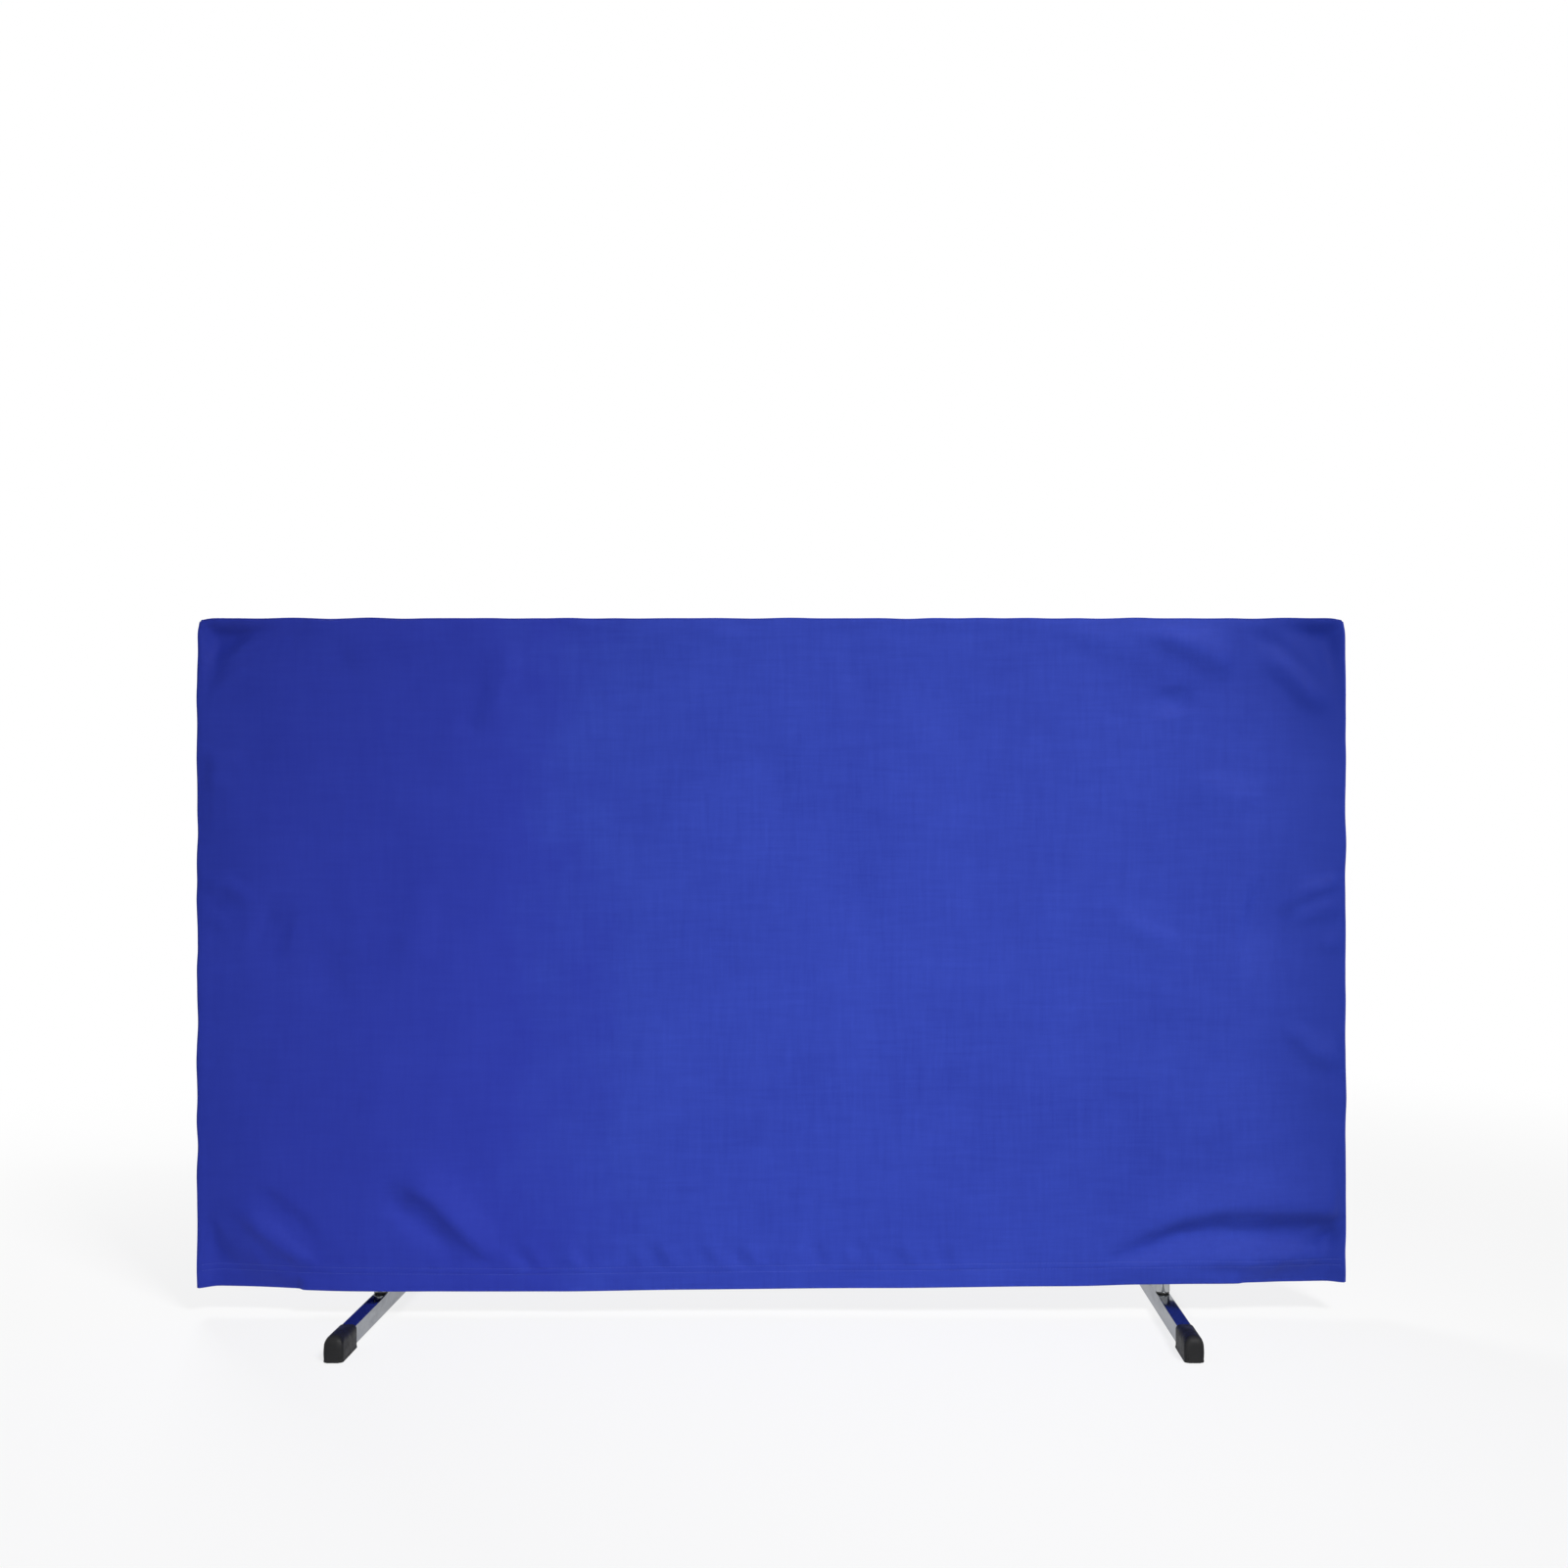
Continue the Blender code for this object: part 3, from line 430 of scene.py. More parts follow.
def rubber_look():
    """Moulded black rubber, a little dusty, and scuffed where it meets the floor."""
    look = Look("black_rubber", (0.008, 0.008, 0.009), 0.55, specular=0.22)
    grain = look.noise(1800, 4, 0.6)
    dust = look.noise(120, 6, 0.7)
    low = look.spread(look.split("Z"), 0.0, SCUFF_HEIGHT, 1.0, 0.0)
    worn = look.maths("MULTIPLY", low, look.spread(dust, 0.4, 0.65, 0.1, 0.9))
    dusty = look.maths("ADD", look.spread(dust, 0.50, 0.75, 0.0, 0.35), worn)
    look.set("Base Color", look.blend(dusty, (0.0060, 0.0060, 0.0068), (0.018, 0.0178, 0.0175)))
    look.set("Roughness", look.spread(dust, 0.35, 0.7, 0.48, 0.72))
    look.bump((dust, 0.08), (grain, 0.03))
    return look.mat


def plain_look(name, colour, roughness, colours, rough, grain, relief, cells=None, sheen=0.0, **settings):
    """A material whose colour and roughness vary a little with a grain, or its colour with small cells. What
    varies the colour also raises the surface, except on metal, where the grain does."""
    look = Look(name, colour, roughness, **settings)
    fine = look.noise(*grain)
    pattern = look.cells(cells) if cells else fine
    look.set("Base Color", look.blend(pattern, *colours))
    look.set("Roughness", look.spread(fine, *NOISE_MIDDLE, *rough))
    look.bump((fine if "metallic" in settings else pattern, relief))
    look.set("Sheen Weight", sheen)
    return look.mat


FRONT_FABRIC = fabric_look("cover_fabric_face", "X", "Z")
SIDE_FABRIC = fabric_look("cover_fabric_side", "Y", "Z", painted_shade=False)
TOP_FABRIC = fabric_look("cover_fabric_top", "X", "Y")
CHROME_X = chrome_look("chrome_along_barrier", "X")
CHROME_Y = chrome_look("chrome_along_foot", "Y")
CHROME_Z = chrome_look("chrome_upright", "Z")
RUBBER = rubber_look()
# Zinc plate with a faint spangle
ZINC = plain_look(
    "zinc_steel", (0.60, 0.60, 0.58), 0.35, ((0.64, 0.64, 0.60), (0.50, 0.53, 0.56)),
    (0.26, 0.44), grain=(2500, 3), relief=0.01, cells=900, metallic=1.0,
)
PLASTIC = plain_look(
    "black_plastic", (0.020, 0.020, 0.021), 0.42, ((0.016, 0.016, 0.017), (0.028, 0.028, 0.029)),
    (0.34, 0.52), grain=(700, 4), relief=0.02,
)
NYLON = plain_look(
    "nylon", (0.62, 0.66, 0.70), 0.45, ((0.56, 0.60, 0.65), (0.68, 0.71, 0.74)),
    (0.38, 0.55), grain=(900, 3), relief=0.02,
)
# The pile of a hook and loop tape
TAPE = plain_look(
    "closure_tape", (0.020, 0.034, 0.230), 0.9, ((0.026, 0.044, 0.280), (0.012, 0.020, 0.150)),
    (0.84, 0.97), grain=(300, 4), relief=0.25, cells=1600, sheen=0.5, specular=0.2,
)
# Twisted sewing thread
THREAD = plain_look(
    "sewing_thread", (0.050, 0.085, 0.470), 0.5, ((0.036, 0.062, 0.400), (0.066, 0.108, 0.520)),
    (0.42, 0.62), grain=(4000, 2, 0.55, (0.4, 1, 1)), relief=0.04, specular=0.4,
)


# Mesh helpers


def linked(name, data):
    obj = bpy.data.objects.new(name, data)
    bpy.context.scene.collection.objects.link(obj)
    return obj


def new_object(name, places, faces):
    mesh = bpy.data.meshes.new(name)
    mesh.from_pydata([tuple(place) for place in places], [], [tuple(face) for face in faces])
    mesh.validate()
    mesh.shade_smooth()
    return linked(name, mesh)


def evaluated(obj):
    """Applies all modifiers of an object."""
    bpy.context.view_layer.update()
    graph = bpy.context.evaluated_depsgraph_get()
    mesh = bpy.data.meshes.new_from_object(obj.evaluated_get(graph))
    old = obj.data
    obj.modifiers.clear()
    obj.data = mesh
    bpy.data.meshes.remove(old)
    return obj


def combine(obj, tool, operation="DIFFERENCE"):
    """Cuts or joins an object with a tool, which goes."""
    change = obj.modifiers.new("change", "BOOLEAN")
    change.operation = operation
    change.solver = "EXACT"
    change.object = tool
    evaluated(obj)
    bpy.data.objects.remove(tool)
    return obj


def thickened(obj, thickness):
    """Gives a sheet its thickness, half to each side."""
    wall = obj.modifiers.new("thickness", "SOLIDIFY")
    wall.thickness = thickness
    wall.offset = 0.0
    return evaluated(obj)


def outward(obj):
    bm = bmesh.new()
    bm.from_mesh(obj.data)
    bmesh.ops.remove_doubles(bm, verts=bm.verts, dist=0.001 * MM)
    bmesh.ops.recalc_face_normals(bm, faces=bm.faces)
    bm.to_mesh(obj.data)
    bm.free()
    return obj


def sharpen(obj, degrees=32):
    obj.data.shade_smooth()
    obj.data.set_sharp_from_angle(angle=math.radians(degrees))
    return obj


def finish_piece(obj, mat, slot, body, *nodes):
    """Gives a piece its material and the body it rides on, and hides the nodes it stands for. Its slot is not
    used.
    """
    obj.data.materials.clear()
    obj.data.materials.append(mat)
    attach(obj, body)
    if nodes:
        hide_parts(*nodes)
    return obj


def middle_of(node):
    """The middle of a node's box, as x and z."""
    low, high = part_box(node)
    return (low.x + high.x) / 2, (low.z + high.z) / 2


def half_width_of(node):
    low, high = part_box(node)
    return (high.x - low.x) / 2


def quads(index):
    """Faces between the neighbours in a table of point numbers."""
    corners = (index[:-1, :-1], index[:-1, 1:], index[1:, 1:], index[1:, :-1])
    return np.stack(corners, -1).reshape(-1, 4)


def grid_quads(rows, columns):
    return quads(np.arange(rows * columns).reshape(rows, columns))


def ring_faces(count, around, capped=True, closed_path=False):
    """Faces of a skin over rings of points."""
    index = np.arange(count * around).reshape(count, around)
    index = np.concatenate([index, index[:, :1]], 1)
    if closed_path:
        return quads(np.concatenate([index, index[:1]], 0)).tolist()
    faces = quads(index).tolist()
    if capped:
        faces.append(list(range(around))[::-1])
        faces.append(list(range((count - 1) * around, count * around)))
    return faces


def loft(name, rings, capped=True, closed_path=False):
    """A skin over rings that have the same number of points."""
    rings = np.asarray(rings, float)
    count, around, _ = rings.shape
    return outward(new_object(name, rings.reshape(-1, 3), ring_faces(count, around, capped, closed_path)))


def ring_angles(sides):
    return np.linspace(0, 2 * math.pi, sides, endpoint=False)


def level_ring(radius, height, x, sides):
    """Points round an upright line at x. The radius is one value, or one for each point."""
    angles = ring_angles(sides)
    return np.stack([x + radius * np.cos(angles), radius * np.sin(angles), np.full(sides, height)], -1)


def turned(name, profile, x=0.0, sides=64, closed=False):
    """A piece turned from (radius, height) points about an upright line. A closed profile makes a ring."""
    rings = [level_ring(radius, height, x, sides) for radius, height in profile]
    return sharpen(loft(name, rings, closed_path=closed))


def arc(centre, radius, start, end, steps):
    """Points of an arc in a plane, with its angles in degrees."""
    angles = np.radians(np.linspace(start, end, steps + 1))
    return [(centre[0] + radius * math.cos(a), centre[1] + radius * math.sin(a)) for a in angles]


def turned_ring(name, x, radii, heights, edge, steps=4, sides=96):
    """A ring about an upright line at x, with rounded outer edges."""
    (inner, outer), (low, high) = radii, heights
    profile = [(inner, high), (inner, low)]
    profile += arc((outer - edge, low + edge), edge, -90, 0, steps)
    profile += arc((outer - edge, high - edge), edge, 0, 90, steps)
    return turned(name, profile, x, sides, closed=True)


def primitive(name, build, **settings):
    """An object made by one of bmesh's own shapes."""
    mesh = bpy.data.meshes.new(name)
    bm = bmesh.new()
    build(bm, **settings)
    bm.to_mesh(mesh)
    bm.free()
    return linked(name, mesh)


def block(name, low, high):
    low, high = Vector(low), Vector(high)
    matrix = Matrix.Translation((low + high) / 2) @ Matrix.Diagonal((*(high - low), 1.0))
    return primitive(name, bmesh.ops.create_cube, size=1.0, matrix=matrix)


def rod(name, start, end, radius, sides=48):
    """A plain cylinder between two points."""
    start, end = Vector(start), Vector(end)
    along = end - start
    matrix = Matrix.Translation((start + end) / 2) @ along.to_track_quat("Z", "Y").to_matrix().to_4x4()
    sizes = {"radius1": radius, "radius2": radius, "depth": along.length}
    return primitive(name, bmesh.ops.create_cone, cap_ends=True, segments=sides, matrix=matrix, **sizes)


def upright_rod(name, x, low, high, radius, sides=48):
    return rod(name, (x, 0, low), (x, 0, high), radius, sides)


# Cloth


def eased(share):
    share = np.clip(share, 0, 1)
    return share * share * (3 - 2 * share)


def band(off, width):
    """One in the middle of a band, less and less to both sides."""
    return np.exp(-((off / width) ** 2))


def hem_height(x):
    places, heights = np.array(HEM_LINE).T
    return np.interp(x, places, heights)


def noise_field(x, z, size, seed, stretch=(1.0, 1.0)):
    """Smooth noise over the places of a sheet, about -0.5 to 0.5, with features of the given size."""
    flat = [
        noise.noise(Vector((a * stretch[0] / size, seed, b * stretch[1] / size)))
        for a, b in zip(x.ravel(), z.ravel())
    ]
    return np.array(flat).reshape(x.shape)


def fold_end(point, from_end):
    """How much of a fold is left near one of its ends. It dies out, but not at a side seam."""
    return 1.0 if abs(point[0]) > cover_half - SEAM_NEAR else eased(from_end / FOLD_FADE)


def fold_field(folds, x, z):
    """How far drawn folds lift the cloth from its plane."""
    lift = np.zeros_like(x)
    for path, left, right, height in folds:
        points = np.array([(photo_x(a), photo_z(b)) for a, b in path])
        lengths = np.linalg.norm(np.diff(points, axis=0), axis=1)
        nearest = np.full(x.shape, np.inf)
        width = np.zeros_like(x)
        along = np.zeros_like(x)
        run = 0.0
        for start, end, length in zip(points, points[1:], lengths):
            way = (end - start) / length
            at = np.clip((x - start[0]) * way[0] + (z - start[1]) * way[1], 0, length)
            off_x = x - start[0] - at * way[0]
            off_z = z - start[1] - at * way[1]
            off = np.hypot(off_x, off_z)
            side = way[0] * off_z - way[1] * off_x
            closer = off < nearest
            nearest = np.where(closer, off, nearest)
            width = np.where(closer, np.where(side > 0, left, right) * MM, width)
            along = np.where(closer, (run + at) / lengths.sum(), along)
            run += length
        ends = fold_end(points[0], along) * fold_end(points[-1], 1 - along)
        lift += height * MM * ends * band(nearest, width)
    return lift


def frame_field(x, z):
    """How the tubes behind the cloth show: it sinks a little between them and more outside their bends."""
    over_x = np.clip(np.abs(x) - upright_x + BEND_RADIUS, 0, None)
    over_z = np.clip(rail_z + BEND_RADIUS - z, 0, None) + np.clip(z - top_rail_z + BEND_RADIUS, 0, None)
    straight = np.minimum(upright_x - np.abs(x), np.minimum(z - rail_z, top_rail_z - z))
    bent = (over_x > 0) & (over_z > 0)
    inside = np.where(bent, BEND_RADIUS - np.hypot(over_x, over_z), straight)
    sunk = -SAG * (1 - band(inside, SAG_REACH))
    corner = -DROP * eased(-inside / DROP_REACH)
    return np.where(inside > 0, sunk, np.where(bent, corner, 0.0))


def ripples(table, seed, x, z):
    """Small waves along a panel's hem, sides and top."""
    past = {"hem": z - hem_height(x), "side": cover_half - np.abs(x), "top": cover_top - z}
    lift = np.zeros_like(z)
    for height, size, step, stretch, edge, middle, reach in table:
        waves = noise_field(x, z, size * MM, seed + step, stretch)
        lift += height * MM * waves * band(past[edge] - middle * MM, reach * MM)
    return lift


def drawn_offsets(folds, seed, x, z):
    """The cloth's drawn shape: how far each place stands out from the flat panel."""
    lift = fold_field(folds, x, z) + frame_field(x, z)
    for height, size, step in UNEVENNESS:
        lift += height * MM * noise_field(x, z, size, seed + step)
    lift += ripples(DRAWN_RIPPLES, seed, x, z)
    edge = np.minimum(cover_half - np.abs(x), cover_top - z)
    return lift * eased(edge / DRAWN_FADE)


def tube_distance(x, z):
    """How far each place is from the nearest middle line of the frame's tubes, seen from the front."""
    inner_x = upright_x - BEND_RADIUS
    in_bend = (np.abs(x) > inner_x) & ((z < rail_z + BEND_RADIUS) | (z > top_rail_z - BEND_RADIUS))
    bend_z = np.where(z < (rail_z + top_rail_z) / 2, rail_z + BEND_RADIUS, top_rail_z - BEND_RADIUS)
    from_bend = np.abs(np.hypot(np.abs(x) - inner_x, z - bend_z) - BEND_RADIUS)
    from_rails = np.minimum(np.abs(z - rail_z), np.abs(z - top_rail_z))
    straight = np.minimum(from_rails, np.abs(np.abs(x) - upright_x))
    return np.where(in_bend, from_bend, straight)


def soft_max(values, least, softness):
    over = values - least
    return least + (over + np.sqrt(over**2 + softness**2)) / 2


def kept_off_frame(out, x, z, facing):
    """Keeps a panel outside the tubes and the flap and, at the back, outside the screw heads."""
    reach = tube_radius + CLOTH / 2 + PANEL_ROOM
    leaving = LEAVING_SHARE * reach
    height = math.sqrt(reach**2 - leaving**2)
    off = tube_distance(x, z)
    slope = height - (off - leaving) * leaving / height
    need = np.where(off < leaving, np.sqrt(np.clip(reach**2 - off**2, 0, None)), np.clip(slope, 0, None))
    for node in SCREWS if facing > 0 else ():
        screw_x, screw_z = middle_of(node)
        off = np.hypot(x - screw_x, z - screw_z)
        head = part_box(node)[1].y + CLOTH / 2 + TUBE_ROOM
        tent = head - TENT_SLOPE * np.clip(off - TENT_TOP, 0, None)
        need = np.maximum(need, np.where(off < TENT_REACH, tent, 0))
    past_flap = np.maximum(np.abs(x) - flap_high.x - FLAP_MARGIN[0], z - flap_high.z - FLAP_MARGIN[1])
    at_flap = 1 - eased(past_flap / FLAP_FADE)
    need = np.maximum(need, at_flap * (cover_plane - CLOTH / 2 - FLAP_DIP))
    return soft_max(out, need, PANEL_SOFTNESS)


def kept_over_tubes(places):
    """Keeps the narrow strips outside the tubes that they run along."""
    x, y, z = np.moveaxis(places, -1, 0)
    rise = np.sqrt(np.clip((tube_radius + CLOTH / 2 + TUBE_ROOM) ** 2 - y**2, 0, None))
    over = np.abs(y) < STRIP_MIDDLE
    on_top = over & (z > top_rail_z) & (np.abs(x) < upright_x - BEND_RADIUS / 2)
    beside = over & (z < top_rail_z - BEND_RADIUS / 2) & (np.abs(x) > upright_x)
    moved = np.array(places)
    moved[..., 2] = np.where(on_top, soft_max(z, top_rail_z + rise, STRIP_SOFTNESS), z)
    moved[..., 0] = np.where(beside, np.sign(x) * soft_max(np.abs(x), upright_x + rise, STRIP_SOFTNESS), x)
    return moved


def simulated(places, rows, columns):
    """Lets a net of cloth settle, held along its sewn edges. Returns how far each point moves."""
    net = new_object("cloth_net", places.reshape(-1, 3), grid_quads(rows, columns))
    row, column = np.divmod(np.arange(rows * columns), columns)
    sewn = (column == 0) | (column == columns - 1) | (row == rows - 1)
    hem = (row == 0) & ~sewn
    near_edges = (row <= 3) | (column <= 1) | (column >= columns - 2) | (row >= rows - 2)
    weights = (("held", sewn, 1.0), ("held", hem, HEM_HELD), ("drawn_in", near_edges, 1.0))
    for group, points, weight in weights:
        held = net.vertex_groups.get(group) or net.vertex_groups.new(name=group)
        held.add(np.flatnonzero(points).tolist(), weight, "REPLACE")
    cloth = net.modifiers.new("cloth", "CLOTH")
    for setting, value in CLOTH_SETTINGS.items():
        setattr(cloth.settings, setting, value)
    cloth.collision_settings.use_collision = False
    cloth.collision_settings.use_self_collision = False
    cloth.point_cache.frame_end = SIM_FRAMES + 1
    scene = bpy.context.scene
    for step in range(1, SIM_FRAMES + 1):
        scene.frame_set(step)
    settled = net.evaluated_get(bpy.context.evaluated_depsgraph_get())
    moved = np.empty(rows * columns * 3, np.float32)
    settled.data.vertices.foreach_get("co", moved)
    scene.frame_set(1)
    bpy.data.objects.remove(net)
    return moved.reshape(places.shape).astype(float) - places


def resampled(values, shares, axis):
    """Reads a net at new places along one axis, on a smooth curve through its points."""
    values = np.moveaxis(values, axis, 0)
    last = len(values) - 1
    at = np.clip(shares, 0, 1) * last
    first = np.minimum(at.astype(int), last - 1)
    t = (at - first).reshape(-1, *([1] * (values.ndim - 1)))
    a, b, c, d = (values[np.clip(first + k, 0, last)] for k in (-1, 0, 1, 2))
    curve = b + 0.5 * t * (c - a + t * (2 * a - 5 * b + 4 * c - d + t * (3 * (b - c) + d - a)))
    return np.moveaxis(curve, 0, axis)


def seam_turn():
    """Where a sheet's edge goes as it turns into a seam: distance past its flat part, and depth inwards."""
    points = []
    for angle in np.radians(np.linspace(0, SEAM_ANGLE, 7))[1:]:
        points.append((SEAM_TURN * math.sin(angle), SEAM_TURN * (1 - math.cos(angle))))
    reach, depth = points[-1]
    for share in (0.25, 0.6, 1.0):
        run = SEAM_ALLOWANCE * share * math.sqrt(0.5)
        points.append((reach - run, depth + run))
    return points


def with_seams(core, right, up, inward, sides=True):
    """Adds turned-in seam allowances to a sheet of places at its left and right edges and at its top."""
    right, up, inward = (np.array(v, float) for v in (right, up, inward))
    profile = seam_turn()
    if sides:
        left_part = [core[:, :1] - right * s + inward * n for s, n in reversed(profile)]
        right_part = [core[:, -1:] + right * s + inward * n for s, n in profile]
        core = np.concatenate([*left_part, core, *right_part], 1)
    return np.concatenate([core, *[core[-1:] + up * s + inward * n for s, n in profile]], 0)


def with_hem(core, inward):
    """Turns the lowest edge of a sheet up behind it."""
    inward = np.array(inward, float)
    inner = core[1:len(HEM_ROWS)] + inward * 2 * HEM_TURN
    fold = []
    for angle in np.radians(np.linspace(0, 180, 8)):
        drop = np.array([0, 0, -HEM_TURN * math.sin(angle)])
        fold.append(core[:1] + drop + inward * HEM_TURN * (1 - math.cos(angle)))
    return np.concatenate([inner[::-1], *fold[::-1], core[1:]], 0)


def worn_edges(places):
    """The small waves and soft corners that sewing leaves along seams. Pieces that meet move alike."""
    x, y, z = np.moveaxis(places, -1, 0)
    side, face = np.sign(x), np.sign(y)
    from_side, from_top = cover_half - np.abs(x), cover_top - z

    def waves(along, row, size, seed):
        return noise_field(along, np.zeros_like(x) + row, size * MM, seed)

    at_side = band(from_side, SEAM_REACH) * SEAM_WAVE
    at_top = band(from_top, SEAM_REACH) * SEAM_WAVE
    moved = np.array(places)
    moved[..., 0] -= side * at_side * (0.5 + waves(z, side, 35, 101.0))
    moved[..., 1] += face * at_side * waves(z, side + 3 * face, 24, 111.0)
    moved[..., 2] -= at_top * (0.5 + waves(x, 0, 40, 121.0))
    moved[..., 1] += face * at_top * waves(x, 3 * face, 26, 131.0)
    soft = CORNER_SOFTNESS * band(np.hypot(from_side, from_top), CORNER_REACH)
    moved[..., 0] -= side * soft
    moved[..., 2] -= soft
    moved[..., 1] -= face * CORNER_THINNER * soft * np.clip(np.abs(y) / cover_plane, 0, 1)
    return moved


def cloth_piece(name, places, mat, *nodes):
    places = kept_over_tubes(worn_edges(places))
    rows, columns, _ = places.shape
    obj = thickened(new_object(name, places.reshape(-1, 3), grid_quads(rows, columns)), CLOTH)
    obj.data.shade_smooth()
    return finish_piece(obj, mat, "cover_fabric", "barrier", *nodes)


def stitches(name, line, outwards):
    """A row of thread stitches along a line of places on the cloth's outer side."""
    line = worn_edges(np.asarray(line, float))
    steps = np.linalg.norm(np.diff(line, axis=0), axis=1)
    run = np.concatenate([[0], np.cumsum(steps)])
    shares, widths, rises = np.array(STITCH_SHAPE).T
    angles = ring_angles(6)[:, None]
    shape = np.array([*ring_faces(len(shares), len(angles), capped=False)])
    ends = np.array(ring_faces(len(shares), len(angles))[-2:])
    places, faces = [], []
    for start in np.arange(STITCH_PITCH, run[-1] - STITCH_PITCH, STITCH_PITCH):
        at = start + shares * STITCH_LENGTH
        middle = np.stack([np.interp(at, run, line[:, k]) for k in range(3)], -1)
        way = middle[-1] - middle[0]
        across = np.cross(way / np.linalg.norm(way), outwards)
        middle += rises[:, None] * MM * outwards
        circle = np.cos(angles) * across + np.sin(angles) * outwards
        rings = middle[:, None] + THREAD_RADIUS * widths[:, None, None] * circle
        base = len(places)
        faces += [*(shape + base).tolist(), *(ends + base).tolist()]
        places += rings.reshape(-1, 3).tolist()
    return finish_piece(new_object(name, places, faces), THREAD, "cover_fabric", "barrier")


def sewn_detail(x, z, seed):
    """Small shapes that sewing gives the cloth: stitch grooves, the hem's double thickness and puckers."""
    up = z - hem_height(x)
    detail = DOUBLE_RISE * (1 - eased((up - DOUBLE_END) / DOUBLE_FADE))
    for height in HEM_STITCHES:
        detail -= GROOVE_DEPTH * band(up - height, GROOVE_REACH)
    detail += ripples(SEWN_RIPPLES, seed, x, z)
    pucker = noise_field(x + PUCKER_LEAN * up, z, PUCKER_SIZE, seed + 30, (1, 0.22))
    start, end = (photo_x(pixel) for pixel in PUCKER_BUSY)
    busy = eased((x - start) / PUCKER_STARTS) * eased((end - x) / PUCKER_ENDS)
    pucker = pucker * (PUCKER_LEAST + PUCKER_MORE * busy)
    detail += PUCKER_HEIGHT * pucker * band(up - PUCKER_MIDDLE, PUCKER_REACH)
    edge = np.minimum(cover_half - np.abs(x), cover_top - z) - SEAM_EASE
    return detail * eased(edge / DETAIL_FADE + DETAIL_AT_SEAM)


def make_panel(name, facing, folds, seed, columns, rows_above, node):
    """The front or back of the cover. Facing is -1 in front and 1 at the back."""
    plane = facing * (cover_plane - CLOTH / 2)
    edge_x = cover_half - CLOTH / 2 - SEAM_EASE
    edge_z = cover_top - CLOTH / 2 - SEAM_EASE

    # A coarse net takes the drawn folds and settles
    coarse_x = np.linspace(-edge_x, edge_x, round(2 * edge_x / COARSE_STEP) + 1)
    coarse_up = np.linspace(0, 1, round((edge_z - hem_height(0.0)) / COARSE_STEP) + 1)
    x, share = np.meshgrid(coarse_x, coarse_up)
    z = hem_height(x) + (edge_z - hem_height(x)) * share
    lift = drawn_offsets(folds, seed, x, z)
    shift = np.stack([np.zeros_like(x), facing * lift, np.zeros_like(x)], -1)
    shift += SIM_SHARE * simulated(np.stack([x, plane + facing * lift, z], -1), *x.shape)

    # The panel's own rows and columns read their shift from it
    x = np.linspace(-edge_x, edge_x, columns)
    hem = hem_height(x)
    low_z = hem + LOW_ROWS[:, None]
    above = np.linspace(0, 1, rows_above + 1)[1:, None]
    z = np.concatenate([low_z, low_z[-1:] + (edge_z - low_z[-1:]) * above], 0)
    column_shift = resampled(shift, (x + edge_x) / (2 * edge_x), 1)
    share = (z - hem) / (edge_z - hem)
    x = np.broadcast_to(x, z.shape)
    core = np.stack([x, np.full_like(z, plane), z], -1)
    core[..., 1] += facing * sewn_detail(x, z, seed)
    for column in range(columns):
        core[:, column] += resampled(column_shift[:, column], share[:, column], 0)
    core[..., 1] = facing * kept_off_frame(facing * core[..., 1], core[..., 0], core[..., 2], facing)

    inward, outwards = (0, -facing, 0), np.array((0.0, facing, 0.0))
    sheet = with_hem(with_seams(core, (1, 0, 0), (0, 0, 1), inward), inward)
    panel = cloth_piece(name, sheet, FRONT_FABRIC, node)
    for order, height in enumerate(HEM_STITCHES):
        line = core[int(np.argmin(np.abs(LOW_ROWS - height)))] + outwards * CLOTH / 2
        stitches(f"{name}_hem_stitches_{order + 1}", line, outwards)


def strip_out(corner, y, half_y, dents):
    """How far out a strip stands across its width: a little crowned, with shallow dents along it."""
    crown = STRIP_CROWN * (1 - (y / half_y) ** 2)
    return corner - STRIP_CROWN + crown + np.minimum(dents * (1 - (y / half_y) ** 4), 0.0)


def make_strips():
    """The narrow strips that join the front and back, along the top and down both sides."""
    half_y = cover_plane - CLOTH / 2 - SEAM_EASE
    corner_x = cover_half - CLOTH / 2
    corner_z = cover_top - CLOTH / 2
    across = np.linspace(-half_y, half_y, 13)

    x, y = np.meshgrid(np.linspace(SEAM_EASE - corner_x, corner_x - SEAM_EASE, 301), across)
    dents = TOP_DENTS * noise_field(x, y, DENT_SIZE, 71.0, (1, 0.6))
    core = np.stack([x, y, strip_out(corner_z, y, half_y, dents)], -1)
    sheet = with_seams(core, (1, 0, 0), (0, 1, 0), (0, 0, -1))
    sheet = with_seams(sheet[::-1], (1, 0, 0), (0, -1, 0), (0, 0, -1), sides=False)
    strip = cloth_piece("cover_top_strip", sheet, TOP_FABRIC, "cover_top_gusset")

    for side, sign in SIDES.items():
        hem = float(hem_height(sign * cover_half))
        top = corner_z - SEAM_EASE
        z = np.concatenate([hem + LOW_ROWS, np.linspace(hem + LOW_ROWS[-1], top, 141)[1:]])
        y, z = np.meshgrid(across, z)
        dents = SIDE_DENTS * noise_field(y, z, DENT_SIZE, 80.0 + sign, (0.6, 1))
        core = np.stack([sign * strip_out(corner_x, y, half_y, dents), y, z], -1)
        inward = (-sign, 0, 0)
        sheet = with_hem(with_seams(core, (0, 1, 0), (0, 0, 1), inward), inward)
        strip = cloth_piece(f"cover_{side}_strip", sheet, SIDE_FABRIC, f"cover_{side}_gusset")


